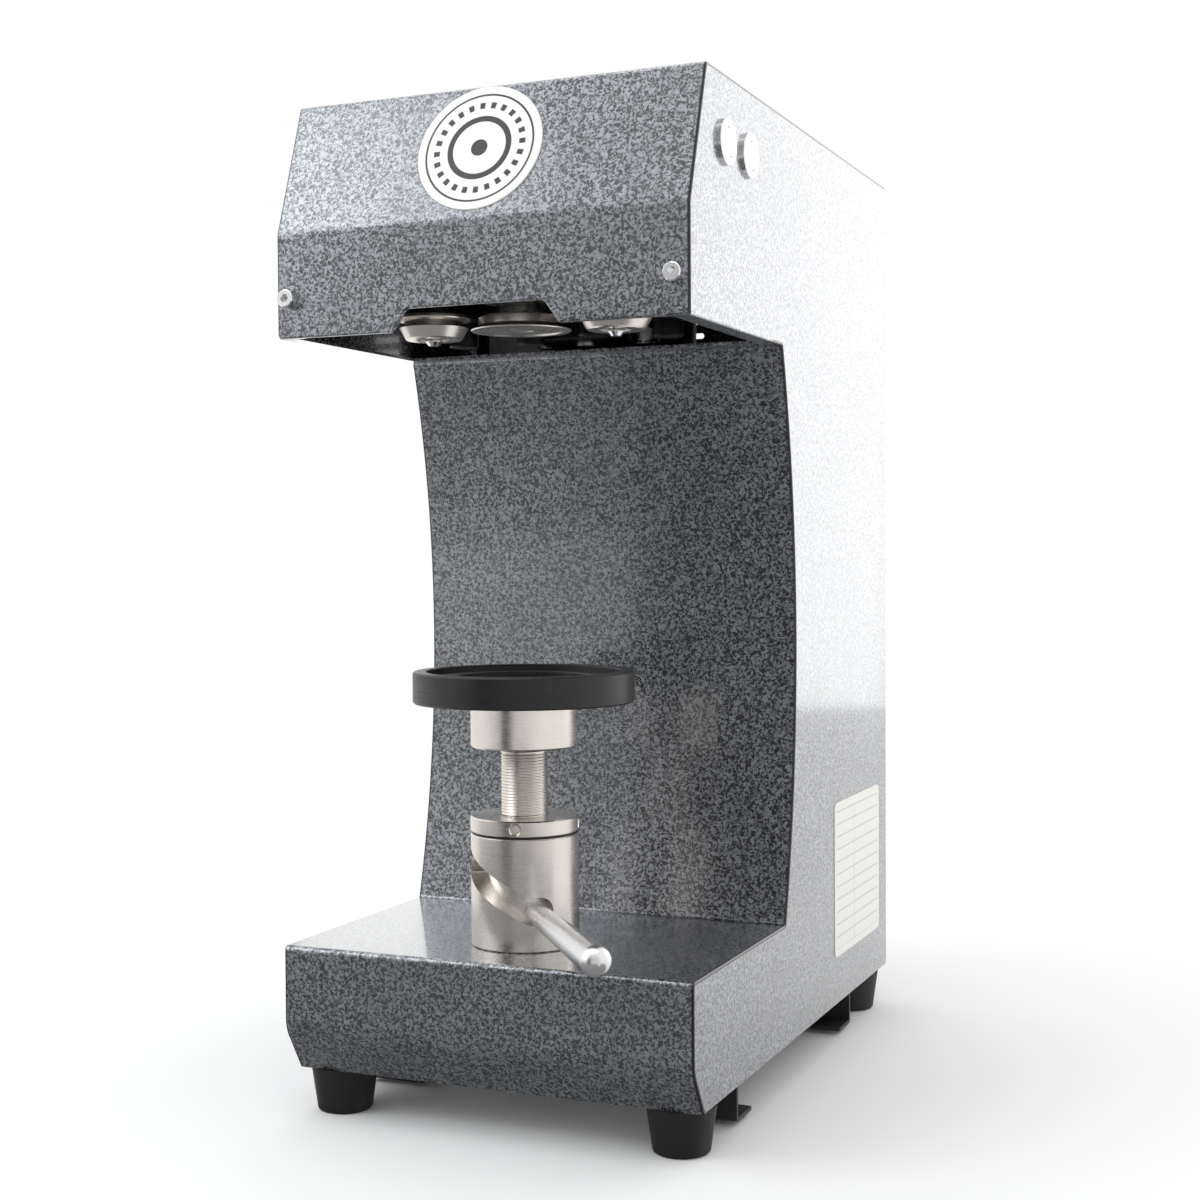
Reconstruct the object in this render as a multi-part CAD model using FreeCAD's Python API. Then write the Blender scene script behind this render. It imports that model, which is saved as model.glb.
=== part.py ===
"""Bench-top can seamer with a hand-lifted turntable, a driven chuck and two cam-driven seaming rollers.

Lengths are millimetres. Shapes are drawn in machine coordinates: the can axis is the Z axis, Z = 0 is the
underside of the base, -Y is the front. place() moves every piece into the part's own frame, whose origin
is on the table under the centre of the machine's box.
"""
import FreeCAD
import Part
import math
import os

from FreeCAD import Vector

# ---------------------------------------------------------------- driving dimensions
CASE_WIDTH = 212.0
CASE_FRONT_Y = -50.5          # front faces of base and head
CASE_REAR_Y = 289.5
CASE_TOP_Z = 472.5
SHEET = 1.5                   # sheet-metal thickness
SHEET_EDGE_R = 1.0            # rounding of the skins' side edges
INNER_BEND_R = 1.6            # bends at the foot and the head of the column
HALF = CASE_WIDTH / 2

BASE_TOP_Z = 62.7
BASE_TOE_Y = -37.2            # lower front edge, set back by the sloping toe
BASE_TOE_Z = 22.0
COLUMN_FOOT_Y = 84.8          # where the curved column face meets the base
COLUMN_HEAD_Y = 83.0          # where it meets the head
COLUMN_SAG = 20.5             # depth of the curve behind that chord
HEAD_BOTTOM_Z = 356.7
HEAD_KINK_Z = 406.8
HEAD_TOP_FRONT_Y = -28.2
COLUMN_LIP = 15.0             # forward lip at the top of the column face

FOOT_HEIGHT = 22.5
FOOT_X = 89.4
FOOT_FRONT_Y = -22.3
FOOT_REAR_Y = 267.0

LEVER_ANGLE = -51.5           # lever direction at rest, degrees from +X
LEVER_Z = 81.2
LEVER_REACH = 130.0           # can axis to the centre of the lever's round end
LEVER_END_R = 7.0
LIFT = 23.5                   # rise of the turntable over the lever's swing
LIFT_SWING = 100.0            # degrees

BARREL_R = 26.4
BARREL_TOP_Z = 116.9
LIFT_CYLINDER_TOP_Z = 117.2
BARREL_BORE_R = 18.0
BARREL_FLOOR = 8.0
RING_WASHER_Z = (117.2, 117.9)
LOCK_RING_Z = (117.9, 125.5)
SPINDLE_R = 11.6
SPINDLE_BOTTOM_Z = 45.0
HUB_Z = (158.9, 180.5)
HUB_R = 26.1
PLATE_Z = (180.5, 195.8)
PLATE_R = 54.0

CHUCK_Z = 360.3               # underside of the chuck lip
CHUCK_TOP_Z = 367.3
CHUCK_LIP_R = 24.4
CHUCK_BODY_R = 20.7

ROLLER_X, ROLLER_Y = 49.0, 2.0
ROLLER_Z = (358.7, 370.5)
PIVOT_X, PIVOT_Y = 57.0, 50.0
ARM_Z = (371.5, 384.0)
CAM_Y = 80.0
CAM_Z = (362.6, 370.6)
CAM_SWING = 45.0              # degrees each way
ARM_SWING = 7.65              # degrees each way, for the cam's full swing
FOLLOWER_DISTANCE = 30.0      # cam axis to follower axis at rest
FOLLOWER_HEADING = 22.0       # degrees from +X, seen from the cam axis
FOLLOWER_R = 8.0

HEAD_PLATE_Z = (392.0, 404.0)
BELT_Z = (430.0, 442.0)
MOTOR_Y = 165.0
SPINDLE_PULLEY_R = 24.0
MOTOR_PULLEY_R = 12.0

BUTTON_Y = (-3.6, 29.1)
BUTTON_Z = 441.0
BUTTON_R = 10.8
BUTTON_PROUD = 2.2

RUNNING = 0.05                # radial clearance of running fits
GAP = 0.3                     # clearance between pieces that move past each other

REAR_SCREW_HEAD = 2.4
FRAME_Y = (CASE_REAR_Y + REAR_SCREW_HEAD
           + LEVER_REACH * math.sin(math.radians(LEVER_ANGLE)) - LEVER_END_R) / 2
UP = Vector(0, 0, 1)
PARTS = "parts"


# ---------------------------------------------------------------- helpers
def cylinder(radius, z_low, z_high, x=0.0, y=0.0):
    return Part.makeCylinder(radius, z_high - z_low, Vector(x, y, z_low))


def tube(outer, inner, z_low, z_high, x=0.0, y=0.0):
    return cylinder(outer, z_low, z_high, x, y).cut(cylinder(inner, z_low - 1, z_high + 1, x, y))


def box(x_range, y_range, z_range):
    size = [high - low for low, high in (x_range, y_range, z_range)]
    return Part.makeBox(*size, Vector(x_range[0], y_range[0], z_range[0]))


def rod_x(radius, x_low, x_high, y, z):
    return Part.makeCylinder(radius, x_high - x_low, Vector(x_low, y, z), Vector(1, 0, 0))


def rod_y(radius, y_low, y_high, x, z):
    return Part.makeCylinder(radius, y_high - y_low, Vector(x, y_low, z), Vector(0, 1, 0))


def radial(radius, from_r, to_r, angle, z):
    """A rod along a radius of the can axis."""
    out = Vector(math.cos(math.radians(angle)), math.sin(math.radians(angle)), 0)
    return Part.makeCylinder(radius, to_r - from_r, out * from_r + Vector(0, 0, z), out)


def revolved(profile, x=0.0, y=0.0):
    """A solid of revolution about a vertical axis, from (radius, z) points."""
    points = [Vector(r, 0, z) for r, z in profile]
    solid = Part.Face(Part.makePolygon(points + points[:1])).revolve(Vector(), UP, 360)
    solid.translate(Vector(x, y, 0))
    return solid


def union(shapes):
    first, rest = shapes[0], list(shapes[1:])
    return (first.fuse(rest) if rest else first).removeSplitter()


def drilled(shape, places, radius, z_low, z_high):
    return shape.cut(Part.makeCompound([cylinder(radius, z_low, z_high, x, y) for x, y in places]))


def mirrored(shape):
    return shape.mirror(Vector(), Vector(1, 0, 0))


def bent_path(points, radii):
    """A wire through (y, z) points in the plane x = 0, with each inner corner rounded to its radius."""
    corners = [Vector(0, y, z) for y, z in points]
    edges, start = [], corners[0]
    for before, corner, after, radius in zip(corners, corners[1:], corners[2:], radii):
        arriving, leaving = (corner - before).normalize(), (after - corner).normalize()
        turn = arriving.getAngle(leaving)
        setback = radius * math.tan(turn / 2)
        first, last = corner - arriving * setback, corner + leaving * setback
        inward = (leaving - arriving).normalize()
        middle = corner + inward * (radius / math.cos(turn / 2) - radius)
        edges.append(Part.LineSegment(start, first).toShape())
        edges.append(Part.Arc(first, middle, last).toShape())
        start = last
    edges.append(Part.LineSegment(start, corners[-1]).toShape())
    return edges


def sheet_from(edges, width):
    """Bends a sheet of the panel thickness along edges in the plane x = 0, inside the case."""
    face = Part.Wire(edges).makeOffset2D(SHEET, 2, True, True)
    solid = face.extrude(Vector(width, 0, 0))
    solid.translate(Vector(-width / 2, 0, 0))
    return solid


def rounded_corner(first, second, radius):
    """Rounds the corner where two edges in the plane x = 0 meet: the trimmed edges, with an arc between them."""
    tool = Part.ChFi2d.FilletAPI(first, second, Part.Plane(Vector(), Vector(1, 0, 0)))
    tool.perform(radius)
    arc, trimmed_first, trimmed_second = tool.result(second.Vertexes[0].Point)
    return [trimmed_first, arc, trimmed_second]


def with_rounded_sides(sheet, outline):
    """Rounds the left and right edges of a sheet on the face that follows its outline."""
    path, edges = Part.Wire(outline), []
    for edge in sheet.Edges:
        middle = edge.valueAt((edge.FirstParameter + edge.LastParameter) / 2)
        on_side = abs(abs(middle.x) - HALF) < 1e-6
        if on_side and path.distToShape(Part.Vertex(0, middle.y, middle.z))[0] < 1e-3:
            edges.append(edge)
    return sheet.makeFillet(SHEET_EDGE_R, edges)


def rounded_slab(width, height, radius, thickness):
    """A slab centred on the Z axis, with its four upright corners rounded."""
    slab = Part.makeBox(width, height, thickness, Vector(-width / 2, -height / 2, 0))
    return slab.makeFillet(radius, [e for e in slab.Edges if e.BoundBox.ZLength > thickness / 2])


def hull_plate(circles, z_low, z_high):
    """A plate that joins each circle (x, y, r) to the next by its outer tangents."""
    pieces = [cylinder(r, z_low, z_high, x, y) for x, y, r in circles]
    for (x1, y1, r1), (x2, y2, r2) in zip(circles, circles[1:]):
        distance = math.hypot(x2 - x1, y2 - y1)
        heading = math.atan2(y2 - y1, x2 - x1)
        spread = math.acos((r1 - r2) / distance)
        points = [Vector(cx + r * math.cos(heading + side), cy + r * math.sin(heading + side), z_low)
                  for cx, cy, r, side in ((x1, y1, r1, spread), (x2, y2, r2, spread),
                                          (x2, y2, r2, -spread), (x1, y1, r1, -spread))]
        pieces.append(Part.Face(Part.makePolygon(points + points[:1])).extrude(UP * (z_high - z_low)))
    return union(pieces)


def hexagonal_prism(corner_r, z_low, z_high, x=0.0, y=0.0):
    corners = [Vector(x + corner_r * math.cos(math.radians(60 * k)), y + corner_r * math.sin(math.radians(60 * k)),
                      z_low) for k in range(7)]
    return Part.Face(Part.makePolygon(corners)).extrude(UP * (z_high - z_low))


def cap_screw(head_r, head_h, shank_r, length, socket_r):
    """A socket cap screw along +Z, its head's underside at Z = 0 and the shank below."""
    bevel = head_h * 0.1
    screw = revolved([(0, -length), (shank_r, -length), (shank_r, 0), (head_r, 0), (head_r, head_h - bevel),
                      (head_r - bevel, head_h), (0, head_h)])
    return screw.cut(hexagonal_prism(socket_r, head_h * 0.4, head_h + 1))


def aimed(shape, position, direction):
    """Turns a shape drawn along +Z to point along direction, at position."""
    turned = shape.copy()
    turned.Placement = FreeCAD.Placement(Vector(*position), FreeCAD.Rotation(UP, Vector(*direction)))
    return turned


# ---------------------------------------------------------------- case
def column_arc():
    """The column's front face, as an arc from the base to the head."""
    middle_z = (BASE_TOP_Z + HEAD_BOTTOM_Z) / 2
    middle_y = (COLUMN_FOOT_Y + COLUMN_HEAD_Y) / 2 + COLUMN_SAG
    return Part.Arc(Vector(0, COLUMN_FOOT_Y, BASE_TOP_Z), Vector(0, middle_y, middle_z),
                    Vector(0, COLUMN_HEAD_Y, HEAD_BOTTOM_Z)).toShape()


def skin_edges():
    """Outline of the front skin: sloping toe, base front, base top, curved column and forward lip."""
    toe = bent_path([(BASE_TOE_Y, 0), (CASE_FRONT_Y, BASE_TOE_Z), (CASE_FRONT_Y, BASE_TOP_Z),
                     (COLUMN_FOOT_Y, BASE_TOP_Z)], [18.0, 2.5])
    lip = Part.LineSegment(Vector(0, COLUMN_HEAD_Y, HEAD_BOTTOM_Z),
                           Vector(0, COLUMN_HEAD_Y - COLUMN_LIP, HEAD_BOTTOM_Z)).toShape()
    base_top, foot_bend, column = rounded_corner(toe[-1], column_arc(), INNER_BEND_R)
    return toe[:-1] + [base_top, foot_bend] + rounded_corner(column, lip, INNER_BEND_R)


def cover_edges():
    """Outline of the head cover: vertical front, sloping upper front and flat top."""
    return bent_path([(CASE_FRONT_Y, HEAD_BOTTOM_Z), (CASE_FRONT_Y, HEAD_KINK_Z),
                      (HEAD_TOP_FRONT_Y, CASE_TOP_Z), (CASE_REAR_Y, CASE_TOP_Z)], [6.0, 2.5])


def make_front_skin():
    skin = with_rounded_sides(sheet_from(skin_edges(), CASE_WIDTH), skin_edges())
    return skin.cut(cylinder(14.0, BASE_TOP_Z - 5, BASE_TOP_Z + 5)).cut(bolt_circle_holes(BASE_TOP_Z))


NOTCH_HALF_TOP, NOTCH_HALF_FOOT, NOTCH_HEIGHT, NOTCH_CORNER = 35.2, 42.4, 10.8, 3.5
COVER_CORNER_R = 2.5
COVER_SCREW_X, COVER_SCREW_Z = 99.0, 375.5
COVER_SCREW_HEAD_R = 4.3
COVER_SCREW_HEAD = 5.0


def make_head_cover():
    cover = sheet_from(cover_edges(), CASE_WIDTH)
    low, high = HEAD_BOTTOM_Z - 1, HEAD_BOTTOM_Z + NOTCH_HEIGHT
    points = [Vector(x, CASE_FRONT_Y - 5, z) for x, z in (
        (-NOTCH_HALF_FOOT - 1, low), (-NOTCH_HALF_TOP, high), (NOTCH_HALF_TOP, high),
        (NOTCH_HALF_FOOT + 1, low))]
    notch = Part.Face(Part.makePolygon(points + points[:1])).extrude(Vector(0, 12, 0))
    notch = notch.makeFillet(NOTCH_CORNER, [e for e in notch.Edges if abs(e.BoundBox.ZMin - high) < 1e-6
                                            and e.BoundBox.YLength > 5])
    cover = cover.cut(notch)
    corners = [e for e in cover.Edges if e.BoundBox.YLength < SHEET + 0.1 and e.BoundBox.YLength > SHEET - 0.1
               and e.BoundBox.ZMax < HEAD_BOTTOM_Z + 0.1]
    cover = with_rounded_sides(cover.makeFillet(COVER_CORNER_R, corners), cover_edges())
    holes = [rod_y(2.75, CASE_FRONT_Y - 2, CASE_FRONT_Y + 3, side * COVER_SCREW_X, COVER_SCREW_Z)
             for side in (-1, 1)]
    return cover.cut(Part.makeCompound(holes))


def side_outline():
    """Face of a side panel in the plane x = 0, inset by the thickness of the skins that cover its edges."""
    front = bent_path([(BASE_TOE_Y + 2, 0), (CASE_FRONT_Y, BASE_TOE_Z), (CASE_FRONT_Y, BASE_TOP_Z),
                       (COLUMN_FOOT_Y, BASE_TOP_Z)], [18.0, 2.5])
    outer = Part.Wire(front + [column_arc(),
                               Part.LineSegment(Vector(0, COLUMN_HEAD_Y, HEAD_BOTTOM_Z),
                                                Vector(0, CASE_FRONT_Y, HEAD_BOTTOM_Z)).toShape()]
                      + cover_edges()
                      + [Part.LineSegment(Vector(0, CASE_REAR_Y, CASE_TOP_Z), Vector(0, CASE_REAR_Y, 0)).toShape(),
                         Part.LineSegment(Vector(0, CASE_REAR_Y, 0), Vector(0, BASE_TOE_Y + 2, 0)).toShape()])
    return Part.Face(outer)


BOTTOM_FLANGE = 34.0
HEAD_FLANGE = 9.0
REAR_FLANGE = 12.0
FRONT_FLANGE_Z = (HEAD_BOTTOM_Z, 402.0)


def make_side_panel():
    """The right-hand panel: a flat plate with flanges turned inwards at the head, the base and the rear."""
    inner_face = HALF - SHEET
    plate = side_outline().extrude(Vector(SHEET, 0, 0))
    plate.translate(Vector(inner_face, 0, 0))
    head = box((HALF - HEAD_FLANGE, HALF), (CASE_FRONT_Y + SHEET, COLUMN_HEAD_Y - COLUMN_LIP),
               (HEAD_BOTTOM_Z, HEAD_BOTTOM_Z + SHEET))
    base = box((HALF - BOTTOM_FLANGE, HALF), (BASE_TOE_Y + 4, CASE_REAR_Y - SHEET), (0, SHEET))
    rear = box((HALF - REAR_FLANGE, HALF), (CASE_REAR_Y - 2 * SHEET, CASE_REAR_Y - SHEET),
               (0, CASE_TOP_Z - SHEET))
    front = box((HALF - 14.0, HALF), (CASE_FRONT_Y + SHEET, CASE_FRONT_Y + 2 * SHEET), FRONT_FLANGE_Z)
    panel = union([plate, head, base, rear, front])
    skins = Part.makeCompound([sheet_from(skin_edges(), CASE_WIDTH + 2), sheet_from(cover_edges(), CASE_WIDTH + 2),
                               box((-HALF - 1, HALF + 1), (CASE_REAR_Y - SHEET, CASE_REAR_Y + 1),
                                   (-1, CASE_TOP_Z + 1))])
    panel = panel.cut(skins)
    lower = [e for e in panel.Edges if abs(e.BoundBox.XMin - HALF) < 1e-6 and e.BoundBox.XLength < 1e-6
             and e.BoundBox.ZLength < 1e-6 and e.BoundBox.YLength > 60
             and min(abs(e.BoundBox.ZMin - z) for z in (0, HEAD_BOTTOM_Z)) < 1e-6]
    return panel.makeFillet(1.2, lower)


def button_holes():
    return Part.makeCompound([rod_x(8.1, HALF - 5, HALF + 5, y, BUTTON_Z) for y in BUTTON_Y])


def side_panel_right():
    panel = make_side_panel().cut(button_holes()).cut(foot_holes()).cut(column_bolt_clearance())
    return panel.cut(rod_y(2.1, CASE_FRONT_Y, CASE_FRONT_Y + 6, COVER_SCREW_X, COVER_SCREW_Z)).cut(rear_holes())


def side_panel_left():
    panel = mirrored(make_side_panel()).cut(foot_holes()).cut(column_bolt_clearance())
    return panel.cut(rod_y(2.1, CASE_FRONT_Y, CASE_FRONT_Y + 6, -COVER_SCREW_X, COVER_SCREW_Z)).cut(rear_holes())


REAR_SCREW_X = HALF - 6.0
REAR_SCREW_ZS = (18.0, 163.0, 308.0, 453.0)
VENT_ROWS = 9
VENT_PITCH = 9.0
VENT_Z = 380.0
SOCKET_X, SOCKET_Z = -62.0, 42.0


def rear_screw_places():
    return [(side * REAR_SCREW_X, z) for side in (-1, 1) for z in REAR_SCREW_ZS]


def rear_holes():
    return Part.makeCompound([rod_y(2.0, CASE_REAR_Y - 5, CASE_REAR_Y + 1, x, z) for x, z in rear_screw_places()])


def make_rear_panel():
    """Flat rear panel with a block of ventilation slots and the power socket's hole."""
    panel = box((-HALF, HALF), (CASE_REAR_Y - SHEET, CASE_REAR_Y), (0, CASE_TOP_Z - SHEET))
    panel = panel.makeFillet(2.0, [e for e in panel.Edges if e.BoundBox.YLength > 1 and e.BoundBox.ZMax < 1])
    panel = panel.makeFillet(SHEET_EDGE_R, [e for e in panel.Edges if e.BoundBox.ZLength > HALF
                                            and abs(e.BoundBox.YMin - CASE_REAR_Y) < 1e-6])
    slots = []
    for row in range(VENT_ROWS):
        z = VENT_Z + row * VENT_PITCH
        for x in (-35.0, 35.0):
            slot = Part.makeBox(50.0, 6.0, 3.4, Vector(x - 25.0, CASE_REAR_Y - 4, z - 1.7))
            slots.append(slot.makeFillet(1.6, [e for e in slot.Edges if e.BoundBox.YLength > 5]))
    socket = rod_y(6.1, CASE_REAR_Y - 5, CASE_REAR_Y + 1, SOCKET_X, SOCKET_Z)
    return panel.cut(Part.makeCompound(slots)).cut(socket).cut(rear_holes())


def make_rear_screws():
    screw = cap_screw(3.8, REAR_SCREW_HEAD, 2.0, 4.6, 1.5)
    return Part.makeCompound([aimed(screw, (x, CASE_REAR_Y, z), (0, 1, 0)) for x, z in rear_screw_places()])


def make_cover_screws():
    """Two cap screws that hold the head cover's lower corners."""
    screw = cap_screw(COVER_SCREW_HEAD_R, COVER_SCREW_HEAD, 2.1, 5.0, 2.2)
    return Part.makeCompound([aimed(screw, (side * COVER_SCREW_X, CASE_FRONT_Y, COVER_SCREW_Z), (0, -1, 0))
                              for side in (-1, 1)])


# ---------------------------------------------------------------- base and frame
BASE_PLATE = 8.0
BASE_PLATE_Z = (SHEET, SHEET + BASE_PLATE)
BASE_PLATE_HALF = 103.0
PEDESTAL_R = 30.0
BARREL_BOLT_CIRCLE = 17.5
BARREL_BOLT_R = 2.5
COLUMN_X = (76.0, 84.0)
COLUMN_Y = (116.0, 205.0)
COLUMN_BOLT_Y = (130.0, 190.0)


def foot_places():
    return [(side * FOOT_X, y) for y in (FOOT_FRONT_Y, FOOT_REAR_Y) for side in (-1, 1)]


def foot_holes():
    return Part.makeCompound([cylinder(3.0, -1, 20, x, y) for x, y in foot_places()])


def column_bolt_places():
    centre = sum(COLUMN_X) / 2
    return [(side * centre, y) for side in (-1, 1) for y in COLUMN_BOLT_Y]


def column_bolt_clearance():
    return Part.makeCompound([cylinder(5.6, -1, SHEET + 1, x, y) for x, y in column_bolt_places()])


def barrel_bolt_places():
    return [(BARREL_BOLT_CIRCLE * math.cos(math.radians(a)), BARREL_BOLT_CIRCLE * math.sin(math.radians(a)))
            for a in (45, 135, 225, 315)]


def bolt_circle_holes(z):
    return Part.makeCompound([cylinder(BARREL_BOLT_R + 0.2, z - 5, z + 5, x, y) for x, y in barrel_bolt_places()])


def make_base_plate():
    plate = box((-BASE_PLATE_HALF, BASE_PLATE_HALF), (-31.0, CASE_REAR_Y - 5.0), BASE_PLATE_Z)
    low, high = BASE_PLATE_Z
    plate = drilled(plate, barrel_bolt_places(), BARREL_BOLT_R, low - 1, high + 1)
    plate = drilled(plate, barrel_bolt_places(), 4.8, low - 1, low + 5.0)
    plate = drilled(plate, column_bolt_places(), 3.0, low - 1, high + 1)
    return plate.cut(foot_holes())


def make_foot(x, y):
    """A tapered rubber foot with a rounded tread and a screw recess."""
    top_r, tread_r, edge = 16.6, 13.4, 2.0
    foot = Part.makeCone(tread_r, top_r, FOOT_HEIGHT, Vector(x, y, -FOOT_HEIGHT))
    foot = foot.makeFillet(edge, [e for e in foot.Edges if abs(e.BoundBox.ZMax + FOOT_HEIGHT) < 1e-3
                                  and e.BoundBox.XLength > 5])
    foot = foot.cut(cylinder(6.5, -FOOT_HEIGHT - 1, -FOOT_HEIGHT + 9.0, x, y))
    return foot.cut(cylinder(3.0, -FOOT_HEIGHT, 1, x, y))


def make_foot_screws():
    screw = cap_screw(5.0, 4.5, 3.0, 18.0, 2.4)
    seat = -FOOT_HEIGHT + 9.0
    return Part.makeCompound([aimed(screw, (x, y, seat), (0, 0, -1)) for x, y in foot_places()])


HOOK_SHEET = 2.0
HOOK_X = (69.0, 102.0)
HOOK_DEPTH = 22.0
HOOK_DROP = 20.0
HOOK_Y = (19.0, 221.0)


def make_hook_brackets():
    """Four channel-shaped hooks under the base; each pair opens towards the other."""
    hooks = []
    for y, facing in ((HOOK_Y[0], 1), (HOOK_Y[1], -1)):
        points = [(y + facing * HOOK_DEPTH, -HOOK_SHEET), (y + facing * HOOK_SHEET, -HOOK_SHEET),
                  (y + facing * HOOK_SHEET, HOOK_SHEET - HOOK_DROP),
                  (y + facing * HOOK_DEPTH, HOOK_SHEET - HOOK_DROP),
                  (y + facing * HOOK_DEPTH, -HOOK_DROP), (y, -HOOK_DROP), (y, 0), (y + facing * HOOK_DEPTH, 0)]
        corners = [Vector(HOOK_X[0], py, pz) for py, pz in points]
        hook = Part.Face(Part.makePolygon(corners + corners[:1])).extrude(Vector(HOOK_X[1] - HOOK_X[0], 0, 0))
        bends = [e for e in hook.Edges if e.BoundBox.XLength > 30 and abs(e.BoundBox.YMin - y) < 1e-6]
        hook = hook.makeFillet(1.8, bends)
        hooks += [hook, mirrored(hook)]
    return Part.makeCompound(hooks)


def make_column_plate():
    plate = box(COLUMN_X, COLUMN_Y, (BASE_PLATE_Z[1], HEAD_PLATE_Z[0]))
    edges = [e for e in plate.Edges if e.BoundBox.ZLength > 100]
    plate = plate.makeFillet(1.5, edges)
    centre = sum(COLUMN_X) / 2
    for y in COLUMN_BOLT_Y:
        plate = plate.cut(cylinder(3.0, 0, BASE_PLATE_Z[1] + 16, centre, y))
        plate = plate.cut(cylinder(3.0, HEAD_PLATE_Z[0] - 16, HEAD_PLATE_Z[1], centre, y))
    return plate


HOUSING_BOLT_CIRCLE = 31.0
HOUSING_R = 23.0
HOUSING_FLANGE_R = 37.0
MOTOR_BODY_R = 28.0
MOTOR_BOLT_CIRCLE = 21.0
CAM_SHAFT_R = 6.0
PIVOT_R = 6.0


def circle_places(radius, count, x=0.0, y=0.0, start=45.0):
    return [(x + radius * math.cos(math.radians(start + 360.0 * k / count)),
             y + radius * math.sin(math.radians(start + 360.0 * k / count))) for k in range(count)]


def make_head_plate():
    """Thick plate that carries the spindle housing, the arm pivots and both motors."""
    low, high = HEAD_PLATE_Z
    plate = box((-92.0, 92.0), (-38.0, 212.0), HEAD_PLATE_Z)
    plate = plate.makeFillet(12.0, [e for e in plate.Edges if e.BoundBox.ZLength > 5])
    plate = drilled(plate, [(0, 0)], HOUSING_R, low - 1, high + 1)
    plate = drilled(plate, [(0, CAM_Y)], CAM_SHAFT_R + 1.0, low - 1, high + 1)
    plate = drilled(plate, [(0, MOTOR_Y)], 11.0, low - 1, high + 1)
    plate = drilled(plate, [(-PIVOT_X, PIVOT_Y), (PIVOT_X, PIVOT_Y)], PIVOT_R, low - 1, high + 1)
    plate = drilled(plate, stop_places(), 4.0, low - 1, high + 1)
    legs = [(side * (PIVOT_X + SPRING_COIL_R), PIVOT_Y) for side in (-1, 1)]
    plate = drilled(plate, legs, SPRING_WIRE_R, low - 1, SPRING_LEG_Z)
    plate = drilled(plate, circle_places(HOUSING_BOLT_CIRCLE, 4), 2.5, low - 1, high + 1)
    plate = drilled(plate, circle_places(MOTOR_BOLT_CIRCLE, 4, 0, MOTOR_Y), 2.0, low - 1, high + 1)
    return drilled(plate, column_bolt_places(), 3.0, low - 1, high + 1)


def make_frame_bolts():
    """Cap screws that hold the column plates, the lift barrel, the spindle housing and the drive motor."""
    bolts = []
    for x, y in column_bolt_places():
        bolts.append(aimed(cap_screw(5.0, 5.0, 3.0, 26.0, 2.6), (x, y, HEAD_PLATE_Z[1]), (0, 0, 1)))
        bolts.append(aimed(cap_screw(5.0, 5.0, 3.0, 22.0, 2.6), (x, y, BASE_PLATE_Z[0]), (0, 0, -1)))
    head_seat = BASE_PLATE_Z[0] + 5.0
    for x, y in barrel_bolt_places():
        bolts.append(aimed(cap_screw(4.6, 4.6, BARREL_BOLT_R, BASE_TOP_Z + 6.0 - head_seat, 2.2),
                           (x, y, head_seat), (0, 0, -1)))
    for x, y in circle_places(HOUSING_BOLT_CIRCLE, 4):
        bolts.append(aimed(cap_screw(4.25, 4.6, 2.5, 18.0, 2.2), (x, y, HOUSING_FLANGE_Z[1]), (0, 0, 1)))
    for x, y in circle_places(MOTOR_BOLT_CIRCLE, 4, 0, MOTOR_Y):
        bolts.append(aimed(cap_screw(3.5, 4.0, 2.0, 18.0, 1.8), (x, y, HEAD_PLATE_Z[1]), (0, 0, 1)))
    return Part.makeCompound(bolts)


# ---------------------------------------------------------------- lifter
def make_pedestal():
    """Thick tube that carries the lifter's load from the barrel to the base plate."""
    low, high = BASE_PLATE_Z[1], BASE_TOP_Z - SHEET
    pedestal = tube(PEDESTAL_R, 13.0, low, high)
    return drilled(pedestal, barrel_bolt_places(), BARREL_BOLT_R, low - 1, high + 1)


SLOT_HALF = 5.9
SLOT_DROP = 0.7               # middle of the slot below the lever's path
POCKET_ANGLES = (-60.0, -48.7)    # level foot of the slot, up to the middle of its round end


def slot_cutter():
    """The barrel's helical slot: a swept band with a round upper end, and a level pocket at its foot."""
    pitch = LIFT * 360.0 / LIFT_SWING
    slope = math.atan2(pitch, 2 * math.pi * BARREL_R)
    half_height = SLOT_HALF / math.cos(slope)
    inner, outer = BARREL_BORE_R - 4.0, BARREL_R + 4.0
    start, foot_end = POCKET_ANGLES
    top_end = LEVER_ANGLE - LIFT_SWING
    top = LEVER_Z + LIFT - SLOT_DROP
    foot = top - LIFT * (start - top_end) / LIFT_SWING
    spine = Part.makeHelix(pitch, top - foot, BARREL_R)
    corners = [Vector(inner, 0, -half_height), Vector(outer, 0, -half_height),
               Vector(outer, 0, half_height), Vector(inner, 0, half_height)]
    band = Part.Wire(spine).makePipeShell([Part.makePolygon(corners + corners[:1])], True, True)
    band = band.mirror(Vector(), Vector(0, 1, 0))
    band.rotate(Vector(), UP, start)
    band.translate(Vector(0, 0, foot))
    level = Part.makeCylinder(outer, 2 * half_height, Vector(0, 0, foot - half_height), UP, foot_end - start)
    level.rotate(Vector(), UP, start)
    return [band, radial(SLOT_HALF, inner, outer, top_end, top), level,
            radial(half_height, inner, outer, foot_end, foot)]


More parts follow.
